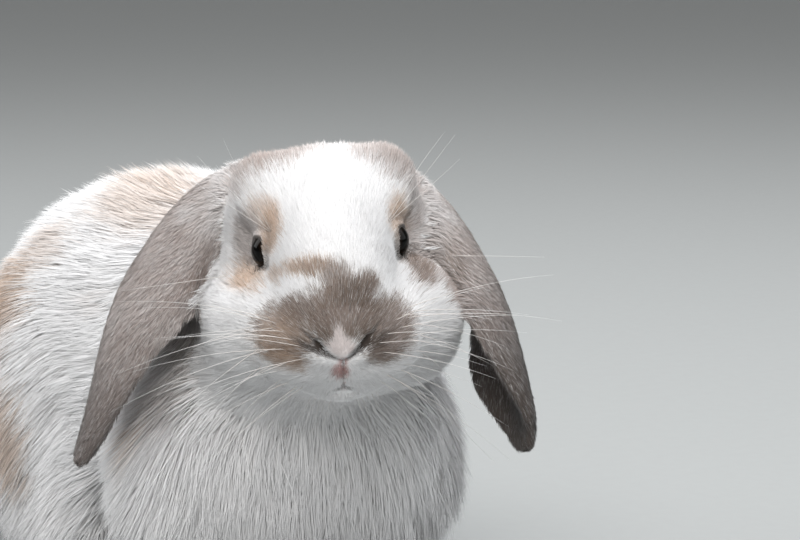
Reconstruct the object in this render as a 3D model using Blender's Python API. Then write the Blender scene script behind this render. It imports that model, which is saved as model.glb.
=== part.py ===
"""A dwarf lop rabbit at life size, crouched on its four feet with its head turned to its right.

Metres, +Z up. The rabbit's trunk lies along Y and faces -Y, so its left side is +X. The solids show
the coat's outer surface. The body is modelled whole, as lofts and ellipsoids that a remesh joins, and
is then parted with thin cuts.
"""

from math import cos, pi, radians, sin

import bmesh
import bpy
from mathutils import Matrix, Vector

MM = 0.001
GAP = 0.4 * MM  # left open between two neighbouring solids
EAR_CLEARANCE = 1.2 * MM
RING_POINTS = 28

# The head's own frame has its origin midway between the eyes, and -Y runs from there to the nose tip.
EYE_MIDDLE = Vector((-6, -112, 147)) * MM
HEAD_TURN = radians(-23)  # to the rabbit's right
HEAD_NOD = radians(35.5)
HEAD_LEAN = radians(-4)  # the left eye is the higher one
HEAD_TURNED = Matrix.Translation(EYE_MIDDLE) @ Matrix.Rotation(HEAD_TURN, 4, "Z")
HEAD = HEAD_TURNED @ Matrix.Rotation(HEAD_LEAN, 4, "Y") @ Matrix.Rotation(HEAD_NOD, 4, "X")

# Skull and muzzle, in the head's frame: forward, top, bottom, half width, height of the widest level.
HEAD_RINGS = (
    (57.5, -2, -12, 6, -7),
    (55, 4, -18, 13, -8),
    (49, 10, -26, 19, -9),
    (40, 16, -30, 21, -9),
    (30, 20, -33, 21.5, -8),
    (20, 22.5, -35, 22, -6),
    (10, 24, -36, 23, -3),
    (0, 24.5, -37, 26, 0),
    (-10, 25, -37, 32, 3),
    (-20, 24, -36, 35, 3),
    (-30, 21, -34, 34, 1),
    (-40, 16, -32, 30, -3),
    (-50, 9, -28, 22, -7),
)
# Lumps of the head: centre (to the left, forward, up) and radii along the same axes.
CHEEK = ((25, 15, -29), (24, 24, 26))
CHEEKBONE = ((20.5, -14, -15), (17.5, 21, 20))
JOWL = ((0, 22, -27), (39, 26, 24))
WHISKER_PAD = ((13.5, 38, -14), (18, 18, 16))
CHIN = ((0, 43, -27), (15, 12, 9))
TEMPLE = ((22, -20, -3), (15, 20, 19))
EAR_MOUND = ((20, -27, 10), (17, 15, 12))
EYE = (20.5, 0, 0)
EYE_RADIUS = 8.8 * MM
NOSTRIL = ((6.2, 56, -1.8), (6.4, 4.6, 1.2))
NOSTRIL_TILT = radians(38)
LIP_CLEFT = ((0, 58, -11), (0.7, 4, 6))

# Trunk, from chest to rump: back along Y, top, bottom, half width, height of the widest level.
TRUNK_RINGS = (
    (-96, 92, 60, 24, 76),
    (-90, 112, 38, 44, 72),
    (-76, 134, 22, 58, 70),
    (-50, 153, 13, 64, 68),
    (-20, 160, 9, 65, 68),
    (20, 162, 7, 70, 67),
    (60, 161, 6, 76, 66),
    (95, 154, 8, 76, 64),
    (122, 141, 12, 68, 61),
    (144, 120, 20, 52, 58),
    (159, 92, 30, 32, 56),
    (165, 72, 40, 16, 54),
)
NECK_START, NECK_END = Vector((0, -45, 98)) * MM, Vector((-6, -88, 132)) * MM
NECK_RADII = (52 * MM, 40 * MM)
CHEST_RUFF = ((1, -78, 68), (67, 37, 53))

# Fore leg and paw, and hind leg and foot, on the left side; the right ones mirror them.
SHOULDER = ((49, -58, 54), (26, 38, 48))
FORELEG_RINGS = ((-64, 56, 19), (-68, 38, 15.5), (-72, 22, 13.5), (-76, 8, 13.5))
FORELEG_SIDE = 27
FOREPAW = ((27, -90, 6), (13.5, 24, 11))
FOREPAW_TOES = ((-9, -102, 7), (-3.2, -106, 7.5), (3.2, -106, 7.5), (9, -102, 7))
FORE_TOE = (4.6, 10, 6.5)
THIGH = ((52, 62, 62), (30, 62, 58))
KNEE = ((58, 12, 36), (19, 32, 32))
HINDFOOT_RINGS = ((76, 20, 10, 10), (62, 25, 12, 13), (38, 21, 13, 13), (10, 17, 14, 14), (-12, 13, 13, 13))
HINDFOOT_SIDE = 60
HINDFOOT_TOES = ((-10.5, -18, 7), (-3.8, -24, 7.5), (3.8, -24, 7.5), (10.5, -19, 7))
HIND_TOE = (5, 14, 7)

TAIL_RINGS = ((148, 40, 12), (161, 44, 16), (171, 54, 19), (175, 68, 20), (175, 82, 17), (173, 94, 10), (171, 99, 5))

CLAW_LENGTH, CLAW_RADIUS = 7 * MM, 1.3 * MM

# Where the whole body is parted. The head keeps a margin of what it grows from.
HEAD_MARGIN = 4 * MM
HEAD_BACK = -38  # along the head's own forward axis
NECK_CUT_RADIUS = 62 * MM
TAIL_ELLIPSOID = ((0, 182, 70), (28, 25, 40))
# Regions of the legs on the left: low corner and high corner, or centre and radii of a cylinder.
FOREPAW_BOX = ((6, -130, -5), (52, -84, 17))
HINDFOOT_BOX = ((38, -50, -5), (90, 86, 23))
FORELEG_CYLINDER = ((43, -62, 20), (37, 36, 30))
THIGH_CYLINDER = ((66, 54, 56), (28, 76, 60))

# Ears, in the turned but level head frame: to the left, forward, up, width, thickness, half cup angle.
RIGHT_EAR = (
    (-20, -31, 22, 26, 18, 40),
    (-38, -28, 21, 32, 16, 50),
    (-53, -24, 10, 38, 12, 58),
    (-64, -20, -4, 44, 9, 60),
    (-75, -16, -20, 47, 6.5, 58),
    (-83, -14, -38, 40, 6, 54),
    (-88.5, -14, -56, 31, 6, 47),
    (-94, -16, -74, 22, 6, 40),
    (-98.5, -18, -85.5, 12, 5, 30),
)
RIGHT_EAR_FACES = ((-0.4, 0.7, 0.55), (-0.9, 0.25, 0.2))
LEFT_EAR = (
    (20, -31, 24, 26, 18, 40),
    (35, -28, 20, 32, 16, 50),
    (48, -23, 8, 38, 12, 58),
    (58, -18, -6, 44, 9, 60),
    (66, -13, -20, 48, 6.5, 64),
    (71.5, -7, -37, 48, 6, 74),
    (74.5, -1, -54, 41, 6, 72),
    (76, 4, -68, 29, 6, 56),
    (75, 8, -79, 13, 5, 30),
)
LEFT_EAR_FACES = ((0.5, 0.6, 0.6), (0.9, -0.5, 0.1))
EAR_POINTS = 7  # across each side of an ear
EAR_STEPS = 2  # rings from one station to the next

COLOURS = {
    "coat": ((0.86, 0.85, 0.83), 0.9),
    "ear": ((0.36, 0.29, 0.26), 0.9),
    "eye": ((0.01, 0.008, 0.007), 0.08),
    "claw": ((0.55, 0.45, 0.38), 0.5),
}


def clear_scene():
    for old in list(bpy.data.objects):
        bpy.data.objects.remove(old, do_unlink=True)


def material(name):
    """The plain stand-in finish of this name, made once."""
    if name in bpy.data.materials:
        return bpy.data.materials[name]
    colour, roughness = COLOURS[name]
    made = bpy.data.materials.new(name)
    made.use_nodes = True
    shader = made.node_tree.nodes["Principled BSDF"]
    shader.inputs["Base Color"].default_value = (*colour, 1)
    shader.inputs["Roughness"].default_value = roughness
    shader.inputs["Metallic"].default_value = 0
    return made


def object_of(name, shape, helper=False):
    """A new object that holds a bmesh, which is freed. A helper is a cutter or a guide."""
    mesh = bpy.data.meshes.new(name)
    bmesh.ops.recalc_face_normals(shape, faces=shape.faces)
    shape.to_mesh(mesh)
    shape.free()
    made = bpy.data.objects.new(name, mesh)
    bpy.context.scene.collection.objects.link(made)
    if helper:
        made.hide_render = True
        made.display_type = "WIRE"
    return made


def evaluated_mesh(source):
    """The mesh that an object's modifiers give."""
    graph = bpy.context.evaluated_depsgraph_get()
    return bpy.data.meshes.new_from_object(source.evaluated_get(graph))


def add_loft(shape, rings):
    """A closed tube through rings of points, all with the same number of them."""
    rows = [[shape.verts.new(point) for point in ring] for ring in rings]
    for near, far in zip(rows, rows[1:]):
        for i in range(len(near)):
            j = (i + 1) % len(near)
            shape.faces.new((near[i], near[j], far[j], far[i]))
    shape.faces.new(rows[0])
    shape.faces.new(rows[-1])


def add_ellipsoid(shape, centre, radii, frame):
    """An ellipsoid whose centre and radii, in millimetres, lie along a frame's axes."""
    placed = frame @ Matrix.Translation(Vector(centre) * MM) @ Matrix.Diagonal((*(Vector(radii) * MM), 1))
    bmesh.ops.create_uvsphere(shape, u_segments=RING_POINTS, v_segments=16, radius=1, matrix=placed)


def pear_ring(frame, middle, half_width, top, bottom, widest):
    """A ring across a frame's Y axis, whose halves above and below its widest level differ in height."""
    ring = []
    for i in range(RING_POINTS):
        angle = 2 * pi * i / RING_POINTS
        height = (top - widest) if sin(angle) > 0 else (widest - bottom)
        place = Vector((half_width * cos(angle), 0, widest + height * sin(angle)))
        ring.append(frame @ (Vector(middle) + place * MM))
    return ring


def round_ring(middle, along, radius):
    """A circle about a point, facing along a direction."""
    turn = Vector((0, -1, 0)).rotation_difference(along).to_matrix()
    angles = [2 * pi * i / RING_POINTS for i in range(RING_POINTS)]
    return [middle + turn @ Vector((cos(a), 0, sin(a))) * radius for a in angles]


def sided(lump, side):
    """The centre and radii of a lump of the head on one side, as left, back and up."""
    (left, forward, up), (wide, long, high) = lump
    return (left * side, -forward, up), (wide, long, high)


def add_head(shape):
    rings = []
    for forward, top, bottom, half_width, widest in HEAD_RINGS:
        rings.append(pear_ring(HEAD, Vector((0, -forward, 0)) * MM, half_width, top, bottom, widest))
    add_loft(shape, rings)
    for lump in (CHEEK, CHEEKBONE, WHISKER_PAD, TEMPLE, EAR_MOUND):
        for side in (1, -1):
            add_ellipsoid(shape, *sided(lump, side), HEAD)
    for lump in (JOWL, CHIN):
        add_ellipsoid(shape, *sided(lump, 1), HEAD)


def add_trunk(shape):
    still = Matrix.Identity(4)
    rings = []
    for back, top, bottom, half_width, widest in smooth_points([Vector(ring) for ring in TRUNK_RINGS], 2):
        rings.append(pear_ring(still, Vector((0, back, 0)) * MM, half_width, top, bottom, widest))
    add_loft(shape, rings)
    along = (NECK_END - NECK_START).normalized()
    ends = zip((NECK_START, NECK_END), NECK_RADII)
    add_loft(shape, [round_ring(middle, along, radius) for middle, radius in ends])
    add_ellipsoid(shape, *CHEST_RUFF, still)


def add_legs(shape, side):
    mirror = Matrix.Diagonal((side, 1, 1, 1))
    for lump in (SHOULDER, THIGH, KNEE, FOREPAW):
        add_ellipsoid(shape, *lump, mirror)
    rings = []
    for back, height, radius in FORELEG_RINGS:
        middle = Vector((side * FORELEG_SIDE, back, height)) * MM
        rings.append(round_ring(middle, Vector((0, -0.2, -1)).normalized(), radius * MM))
    add_loft(shape, rings)
    rings = []
    for back, top, half_width, half_height in HINDFOOT_RINGS:
        middle = Vector((side * HINDFOOT_SIDE, back, 0)) * MM
        rings.append(pear_ring(Matrix.Identity(4), middle, half_width, top, top - 2 * half_height, half_height / 2))
    add_loft(shape, rings)
    for left, back, up in FOREPAW_TOES:
        add_ellipsoid(shape, (FORELEG_SIDE + left, back, up), FORE_TOE, mirror)
    for left, back, up in HINDFOOT_TOES:
        add_ellipsoid(shape, (HINDFOOT_SIDE + left, back, up), HIND_TOE, mirror)


def add_tail(shape):
    middles = [Vector((0, back, height)) * MM for back, height, _ in TAIL_RINGS]
    rings = []
    for i, (_, _, radius) in enumerate(TAIL_RINGS):
        before, after = middles[max(i - 1, 0)], middles[min(i + 1, len(middles) - 1)]
        rings.append(round_ring(middles[i], (after - before).normalized(), radius * MM))
    add_loft(shape, rings)


def whole_body(name, voxel, smoothing, faces_kept):
    """The whole body without its ears, joined by a remesh, smoothed and thinned out."""
    shape = bmesh.new()
    add_head(shape)
    add_trunk(shape)
    for side in (1, -1):
        add_legs(shape, side)
    add_tail(shape)
    whole = object_of(name, shape, helper=True)
    remesh = whole.modifiers.new("join", "REMESH")
    remesh.mode = "VOXEL"
    remesh.voxel_size = voxel
    smooth = whole.modifiers.new("soften", "SMOOTH")
    smooth.factor = 0.5
    smooth.iterations = smoothing
    thin = whole.modifiers.new("thin", "DECIMATE")
    thin.ratio = faces_kept
    return whole


def ear_ring(middle, along, convex, width, thickness, cup):
    """A cupped section: a thick arc, round at its rims, whose convex side faces one way."""
    across = along.cross(convex).normalized()
    convex = across.cross(along).normalized()
    radius = width / 2 / sin(cup)
    centre = middle - convex * radius
    ring = []
    for i in range(EAR_POINTS):
        angle = cup * (2 * i / (EAR_POINTS - 1) - 1)
        edge = abs(2 * i / (EAR_POINTS - 1) - 1)
        ring.append((angle, radius - 0.3 * thickness * edge ** 6))
    for i in reversed(range(EAR_POINTS)):
        angle = cup * (2 * i / (EAR_POINTS - 1) - 1)
        edge = abs(2 * i / (EAR_POINTS - 1) - 1)
        ring.append((angle, radius - thickness * (1 - 0.6 * edge ** 3)))
    return [centre + (across * sin(a) + convex * cos(a)) * r for a, r in ring]


def smooth_points(points, steps):
    """The points of a Catmull-Rom curve through a list of points of any length."""
    ends = [2 * points[0] - points[1], *points, 2 * points[-1] - points[-2]]
    curve = []
    for a, b, c, d in zip(ends, ends[1:], ends[2:], ends[3:]):
        for i in range(steps):
            t = i / steps
            curve.append(0.5 * (2 * b + (c - a) * t + (2 * a - 5 * b + 4 * c - d) * t * t + (3 * b - a - 3 * c + d) * t ** 3))
    curve.append(points[-1])
    return curve


def add_ear(shape, stations, faces):
    """An ear lofted through its stations. The way its convex side faces turns from base to tip."""
    places = smooth_points([Vector((left, -forward, up)) for left, forward, up, *_ in stations], EAR_STEPS)
    sizes = smooth_points([Vector(sizes) for _, _, _, *sizes in stations], EAR_STEPS)
    starts, ends = [Vector((left, -forward, up)) for left, forward, up in faces]
    turned = HEAD_TURNED.to_3x3()
    rings = []
    for i, place in enumerate(places):
        share = i / (len(places) - 1)
        along = places[min(i + 1, len(places) - 1)] - places[max(i - 1, 0)]
        width, thickness, cup = sizes[i]
        convex = turned @ starts.lerp(ends, share)
        ring = ear_ring(HEAD_TURNED @ (place * MM), (turned @ along).normalized(), convex, width * MM, thickness * MM, radians(cup))
        rings.append(ring)
    add_loft(shape, rings)


def add_box(shape, low, high):
    low, high = Vector(low) * MM, Vector(high) * MM
    placed = Matrix.Translation((low + high) / 2) @ Matrix.Diagonal((*(high - low), 1))
    bmesh.ops.create_cube(shape, size=1, matrix=placed)


def add_cylinder(shape, centre, radii, axis, grown):
    """An elliptic cylinder along an axis of the world; along it, a radius is half its length."""
    centre, radii = Vector(centre) * MM, Vector(radii) * MM + Vector((grown, grown, grown))
    others = [i for i in range(3) if i != axis]
    rings = []
    for end in (-1, 1):
        ring = []
        for i in range(RING_POINTS):
            angle = 2 * pi * i / RING_POINTS
            point = centre.copy()
            point[axis] += end * radii[axis]
            point[others[0]] += radii[others[0]] * cos(angle)
            point[others[1]] += radii[others[1]] * sin(angle)
            ring.append(point)
        rings.append(ring)
    add_loft(shape, rings)


def mirrored(point, side):
    return Vector((point[0] * side, point[1], point[2]))


def box_region(name, corners, side, grown):
    """A box on one side of the body, larger all round by a width."""
    low, high = (mirrored(corner, side) for corner in corners)
    margin = Vector((grown, grown, grown)) / MM
    smallest = Vector(map(min, low, high)) - margin
    largest = Vector(map(max, low, high)) + margin
    shape = bmesh.new()
    add_box(shape, smallest, largest)
    return object_of(name, shape, helper=True)


def cylinder_region(name, cylinder, side, axis, grown):
    centre, radii = cylinder
    shape = bmesh.new()
    add_cylinder(shape, mirrored(centre, side), radii, axis, grown)
    return object_of(name, shape, helper=True)


def ellipsoid_region(name, ellipsoid, grown):
    centre, radii = ellipsoid
    shape = bmesh.new()
    add_ellipsoid(shape, centre, [radius + grown / MM for radius in radii], Matrix.Identity(4))
    return object_of(name, shape, helper=True)


def head_region(name, grown):
    """The head's own shape with a margin, cut off flat behind the ears."""
    shape = bmesh.new()
    add_head(shape)
    region = object_of(name, shape, helper=True)
    remesh = region.modifiers.new("join", "REMESH")
    remesh.mode = "VOXEL"
    remesh.voxel_size = 5 * MM
    smooth = region.modifiers.new("soften", "SMOOTH")
    smooth.factor = 0.5
    smooth.iterations = 6
    thin = region.modifiers.new("thin", "DECIMATE")
    thin.ratio = 0.1
    region.data = evaluated_mesh(region)
    region.modifiers.clear()
    for vertex in region.data.vertices:
        vertex.co += vertex.normal * (HEAD_MARGIN + grown)
    shape = bmesh.new()
    shape.from_mesh(region.data)
    plane = HEAD @ Vector((0, -HEAD_BACK * MM + grown, 0))
    across = HEAD.to_3x3() @ Vector((0, 1, 0))
    everything = shape.verts[:] + shape.edges[:] + shape.faces[:]
    bmesh.ops.bisect_plane(shape, geom=everything, plane_co=plane, plane_no=across, clear_outer=True)
    rim = [edge for edge in shape.edges if edge.is_boundary]
    bmesh.ops.holes_fill(shape, edges=rim, sides=0)
    shape.to_mesh(region.data)
    shape.free()
    return region


def neck_region(name, grown):
    """A cylinder about the neck's line, from the shoulders forward."""
    along = (NECK_END - NECK_START).normalized()
    start = NECK_START + along * (6 * MM - grown)
    shape = bmesh.new()
    ends = (start, start + along * 110 * MM)
    add_loft(shape, [round_ring(end, along, NECK_CUT_RADIUS + grown) for end in ends])
    return object_of(name, shape, helper=True)


def combine(target, cutter, operation):
    """Apply a Boolean to an object's mesh for good."""
    cut = target.modifiers.new("cut", "BOOLEAN")
    cut.operation = operation
    cut.object = cutter
    cut.solver = "EXACT"
    target.data = evaluated_mesh(target)
    target.modifiers.clear()


def largest_body(target):
    """Drop the crumbs that a cut leaves beside the body proper."""
    shape = bmesh.new()
    shape.from_mesh(target.data)
    left = set(shape.verts)
    bodies = []
    while left:
        body, front = set(), [left.pop()]
        while front:
            vertex = front.pop()
            body.add(vertex)
            for edge in vertex.link_edges:
                other = edge.other_vert(vertex)
                if other in left:
                    left.remove(other)
                    front.append(other)
        bodies.append(body)
    bodies.sort(key=len)
    for crumb in bodies[:-1]:
        bmesh.ops.delete(shape, geom=list(crumb), context="VERTS")
    shape.to_mesh(target.data)
    shape.free()


def copy_of(source, name):
    made = bpy.data.objects.new(name, source.data.copy())
    bpy.context.scene.collection.objects.link(made)
    return made


def finish(target, finish_name):
    """Show an object as a part: one body, smooth, in its own finish."""
    largest_body(target)
    target.hide_render = False
    target.display_type = "TEXTURED"
    target.data.materials.clear()
    target.data.materials.append(material(finish_name))
    target.data.shade_smooth()
    target.data.set_sharp_from_angle(angle=radians(40))


def carve(whole, name, region_maker):
    """Part one piece from the whole, and leave a thin gap between the two."""
    piece = copy_of(whole, name)
    combine(piece, region_maker(name + "_region", 0), "INTERSECT")
    combine(whole, region_maker(name + "_wider_region", GAP), "DIFFERENCE")
    finish(piece, "coat")
    return piece


def on_the_floor(whole):
    """Cut the soles flat where they rest."""
    whole.data = evaluated_mesh(whole)
    whole.modifiers.clear()
    shape = bmesh.new()
    add_box(shape, (-300, -300, 0), (300, 300, 400))
    combine(whole, object_of(whole.name + "_space", shape, helper=True), "INTERSECT")


def cut_features(head):
    """Open the eye sockets, the nostrils and the cleft of the upper lip."""
    shape = bmesh.new()
    for side in (1, -1):
        left, forward, up = EYE
        placed = HEAD @ Matrix.Translation(Vector((left * side, -forward, up)) * MM)
        bmesh.ops.create_uvsphere(
            shape, u_segments=18, v_segments=10, radius=EYE_RADIUS + GAP, matrix=placed
        )
    combine(head, object_of("eye_sockets", shape, helper=True), "DIFFERENCE")
    shape = bmesh.new()
    for side in (1, -1):
        centre, radii = sided(NOSTRIL, side)
        tilt = Matrix.Rotation(-NOSTRIL_TILT * side, 4, "Y")
        placed = HEAD @ Matrix.Translation(Vector(centre) * MM) @ tilt
        add_ellipsoid(shape, (0, 0, 0), radii, placed)
    combine(head, object_of("nostril_slits", shape, helper=True), "DIFFERENCE")
    shape = bmesh.new()
    add_ellipsoid(shape, *sided(LIP_CLEFT, 1), HEAD)
    combine(head, object_of("lip_cleft", shape, helper=True), "DIFFERENCE")


def make_eye(side_name, side):
    left, forward, up = EYE
    shape = bmesh.new()
    bmesh.ops.create_uvsphere(shape, u_segments=18, v_segments=10, radius=EYE_RADIUS)
    eye = object_of("eye_" + side_name, shape)
    eye.matrix_world = HEAD @ Matrix.Translation(Vector((left * side, -forward, up)) * MM)
    finish(eye, "eye")


def clearance(source, name, width):
    """A guide just outside a piece, for trimming what stands on it."""
    guide = copy_of(source, name)
    guide.hide_render = True
    guide.display_type = "WIRE"
    for vertex in guide.data.vertices:
        vertex.co += vertex.normal * width
    return guide


def make_ear(side_name, stations, faces, guide):
    shape = bmesh.new()
    add_ear(shape, stations, faces)
    ear = object_of("ear_" + side_name, shape)
    combine(ear, guide, "DIFFERENCE")
    finish(ear, "ear")


def make_claw(name, root, direction, guide):
    """A claw that narrows and bends down from a root inside its toe."""
    down = Vector((0, 0, -1))
    rings = []
    for share, width in ((0, 1), (0.6, 0.8), (1, 0.25)):
        middle = root + (direction * share + down * 0.25 * share ** 2) * CLAW_LENGTH
        ring = []
        for i in range(6):
            angle = pi * i / 3
            across = direction.cross(down).normalized() * cos(angle) + down * sin(angle)
            ring.append(middle + across * CLAW_RADIUS * width)
        rings.append(ring)
    shape = bmesh.new()
    add_loft(shape, rings)
    claw = object_of(name, shape)
    combine(claw, guide, "DIFFERENCE")
    finish(claw, "claw")


def make_claws(foot, toes, toe, foot_side, side_name, side, dewclaw):
    limb_name = foot + "_" + side_name
    guide = clearance(bpy.data.objects[limb_name], limb_name + "_guide", GAP)
    limb = "fore" if foot == "forepaw" else "hind"
    for i, (left, back, up) in enumerate(toes):
        root = Vector((side * (foot_side + left), back - toe[1] + 3, up - 0.5)) * MM
        spread = Vector((side * left * 0.02, -1, -0.25)).normalized()
        make_claw(f"claw_{limb}_{side_name}_{i + 1}", root, spread, guide)
    if dewclaw:
        root = Vector((side * (foot_side - 11), -90, 11)) * MM
        make_claw(f"claw_{limb}_{side_name}_dew", root, Vector((-side * 0.5, -0.8, -0.3)).normalized(), guide)


def rest_on_origin():
    """Set the model down with its bounding box's bottom centre at the origin."""
    shown = [part for part in bpy.data.objects if not part.hide_render]
    bpy.context.view_layer.update()
    points = [part.matrix_world @ vertex.co for part in shown for vertex in part.data.vertices]
    low = [min(point[i] for point in points) for i in range(3)]
    high = [max(point[i] for point in points) for i in range(3)]
    shift = Vector(((low[0] + high[0]) / 2, (low[1] + high[1]) / 2, low[2]))
    for part in shown:
        part.location -= shift


def main():
    clear_scene()
    fine = whole_body("whole_fine", 2.2 * MM, 30, 0.028)
    coarse = whole_body("whole_coarse", 3.5 * MM, 14, 0.0405)
    on_the_floor(fine)
    on_the_floor(coarse)
    ear_guide = clearance(coarse, "ear_guide", EAR_CLEARANCE)

    head = copy_of(fine, "head")
    combine(head, head_region("head_region", 0), "INTERSECT")
    combine(coarse, head_region("head_wider_region", GAP), "DIFFERENCE")
    cut_features(head)
    finish(head, "coat")

    carve(coarse, "neck", neck_region)
    carve(coarse, "tail", lambda name, grown: ellipsoid_region(name, TAIL_ELLIPSOID, grown))
    for side_name, side in (("left", 1), ("right", -1)):
        carve(coarse, "forepaw_" + side_name, lambda name, grown: box_region(name, FOREPAW_BOX, side, grown))
        carve(coarse, "hindfoot_" + side_name, lambda name, grown: box_region(name, HINDFOOT_BOX, side, grown))
        carve(
            coarse,
            "foreleg_" + side_name,
            lambda name, grown: cylinder_region(name, FORELEG_CYLINDER, side, 2, grown),
        )
        carve(
            coarse,
            "thigh_" + side_name,
            lambda name, grown: cylinder_region(name, THIGH_CYLINDER, side, 0, grown),
        )
        make_eye(side_name, side)
        make_claws("forepaw", FOREPAW_TOES, FORE_TOE, FORELEG_SIDE, side_name, side, True)
        make_claws("hindfoot", HINDFOOT_TOES, HIND_TOE, HINDFOOT_SIDE, side_name, side, False)
    finish(coarse, "coat")
    coarse.name = "trunk"
    make_ear("left", LEFT_EAR, LEFT_EAR_FACES, ear_guide)
    make_ear("right", RIGHT_EAR, RIGHT_EAR_FACES, ear_guide)
    rest_on_origin()


main()
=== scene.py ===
"""A life-size dwarf lop rabbit: skin, coat, whiskers, eyes and claws over a frame of solids.

Sizes in the tables are millimetres. The head has a frame of its own: its origin is midway
between the eyes, and its axes run to the rabbit's left, forward to the nose, and up.
"""

import bmesh
import bpy
import numpy as np
from bpy.props import FloatProperty, FloatVectorProperty, IntProperty, PointerProperty
from math import cos, pi, radians, sin
from mathutils import Matrix, Vector
from mathutils.bvhtree import BVHTree


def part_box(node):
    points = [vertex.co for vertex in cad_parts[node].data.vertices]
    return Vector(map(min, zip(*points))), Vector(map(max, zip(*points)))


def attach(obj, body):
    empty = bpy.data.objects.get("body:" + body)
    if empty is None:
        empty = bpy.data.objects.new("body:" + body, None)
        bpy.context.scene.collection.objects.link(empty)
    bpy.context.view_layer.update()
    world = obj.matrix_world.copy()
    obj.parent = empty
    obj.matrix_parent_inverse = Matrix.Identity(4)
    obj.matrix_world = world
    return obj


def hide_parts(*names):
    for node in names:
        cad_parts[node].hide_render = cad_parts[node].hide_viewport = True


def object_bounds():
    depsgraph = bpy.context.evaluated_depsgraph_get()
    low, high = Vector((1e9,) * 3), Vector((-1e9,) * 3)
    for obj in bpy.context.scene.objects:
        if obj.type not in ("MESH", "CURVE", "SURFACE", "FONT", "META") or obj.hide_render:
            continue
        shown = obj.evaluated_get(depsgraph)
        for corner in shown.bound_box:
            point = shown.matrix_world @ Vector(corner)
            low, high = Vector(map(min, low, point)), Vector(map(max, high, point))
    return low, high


bl_info = {
    "name": "Dwarf Lop Rabbit",
    "version": (1, 0, 0),
    "blender": (4, 5, 0),
    "location": "3D View > Sidebar > Rabbit",
    "description": "Dresses the solids of a crouched lop rabbit with skin, fur, whiskers and eyes",
    "category": "Object",
}

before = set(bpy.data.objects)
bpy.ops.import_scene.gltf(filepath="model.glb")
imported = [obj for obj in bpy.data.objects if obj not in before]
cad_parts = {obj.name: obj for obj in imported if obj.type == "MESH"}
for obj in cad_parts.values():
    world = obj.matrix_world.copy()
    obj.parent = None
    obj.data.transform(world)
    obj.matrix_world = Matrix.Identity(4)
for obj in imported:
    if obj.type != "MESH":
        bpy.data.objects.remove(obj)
CAD_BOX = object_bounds()
MM = 0.001
FLESH = sorted(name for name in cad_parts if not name.startswith(("eye", "claw")))


def middle(node):
    """The middle of a node's box."""
    low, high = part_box(node)
    return (low + high) / 2


def turned_frame(place, turn, lean=0, nod=0):
    """A frame whose axes run left, back and up: turned about Z, leant about Y, nodded about X."""
    about_z, about_y, about_x = (
        Matrix.Rotation(radians(angle), 4, axis) for angle, axis in zip((turn, lean, nod), "ZYX")
    )
    return Matrix.Translation(place) @ (about_z @ about_y @ about_x)


EYE_CENTRES = {side: middle("eye_" + side) for side in ("left", "right")}
EYE_MIDDLE = (EYE_CENTRES["left"] + EYE_CENTRES["right"]) / 2
EYE_RADIUS = (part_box("eye_left")[1].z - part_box("eye_left")[0].z) / 2
SIDES = {"left": 1, "right": -1}
HEAD_TURN = -23  # degrees
HEAD = turned_frame(EYE_MIDDLE, HEAD_TURN, -4, 35.5)
LEVEL_HEAD = turned_frame(EYE_MIDDLE, HEAD_TURN)

# Where the rabbit is seen from: degrees about Z and up, and how far off. The face's marks are laid
# out on a plane that faces that way.
VIEW_TURN, VIEW_HEIGHT, VIEW_DISTANCE = -27, 8, 1200
VIEW_WIDTH = 300  # how much the view takes in across, at the eyes
FACE = turned_frame(EYE_MIDDLE, VIEW_TURN, nod=-VIEW_HEIGHT)

# The bare skin's features, in the head's frame: left, forward, up.
NOSE_TIP = (0, 57, -4)
NOSTRIL = ((0.9, 57, -4.6), (5.0, 56, -2.8), (9.0, 54, 0.2), (12.6, 51, 1.8))
LIP_CLEFT = ((0, 58, -4.6), (0, 57.5, -11), (0, 55, -20.5))
MOUTH = ((0, 54.5, -21.8), (4.5, 52.5, -23), (9, 49, -26), (13, 44, -29.5))
MUZZLE = (0, 54, -10)  # the middle of the muzzle's fine faces
SKULL = (0, -15, 0)
EYE_OPENING = (radians(43), radians(44))  # half its length and half its height, seen from the eye
EYE_AXIS = (0.92, 0.28, 0.12)  # where the left eye looks, to the left, forward and up
# The lids from the middle of the opening out: how far out, and how far they stand off the eyeball.
LIDS = ((0, 0.86, 0.96, 1.04, 1.2, 1.42, 1.7), (-1.6, -1.5, 0.15, 0.85, 0.95, 0.7, 0.8))
HAIR_PARTING = (0, 60, -3)  # the head's hair runs back from here
EAR_ROOT = (22, -30, 30)  # the left ear's runs out from here, in the level head's frame

# Where each zone's hair points, in the world.
LIE = {
    "neck": (0, 0.75, -0.6),
    "trunk": (0, 1, -0.3),
    "tail": (0, 0.15, 1),
    "foreleg": (0, -0.05, -1),
    "forepaw": (0, -1, -0.25),
    "thigh": (0, 0.6, -0.8),
    "hindfoot": (0, -1, -0.1),
}
# How deep each zone's coat is, and how much deeper on the chest and under the jaw. The head's
# depth goes by how far the nose is.
DEPTH = {
    "ear": 1.2,
    "neck": 9,
    "trunk": 9,
    "tail": 5,
    "foreleg": 7,
    "forepaw": 2.2,
    "thigh": 8,
    "hindfoot": 2.4,
}
RUFF, JOWL = 2.5, 2.6
ZONES = sorted(("head", *DEPTH))
CHEST_ZONES = ("neck", "trunk", "foreleg")
# How deep the head's coat is at some distances from the nose, and how deep the coat may be at
# some distances from the nostrils, skull, ears and eyes.
DEPTH_FROM = {
    "nose": ((0, 8, 20, 40, 60, 80, 100), (0.5, 0.8, 1.4, 2.2, 2.8, 3.2, 4.2)),
    "nostrils": ((0, 6, 14, 24), (0.35, 0.7, 1.3, 12)),
    "skull": ((48, 60, 85), (3.6, 5.5, 10)),
    "ear": ((0, 3, 14), (0.7, 1.0, 3.6)),
    "eye": ((9.5, 13, 20, 30), (0.5, 0.9, 2.4, 12)),
}


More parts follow.
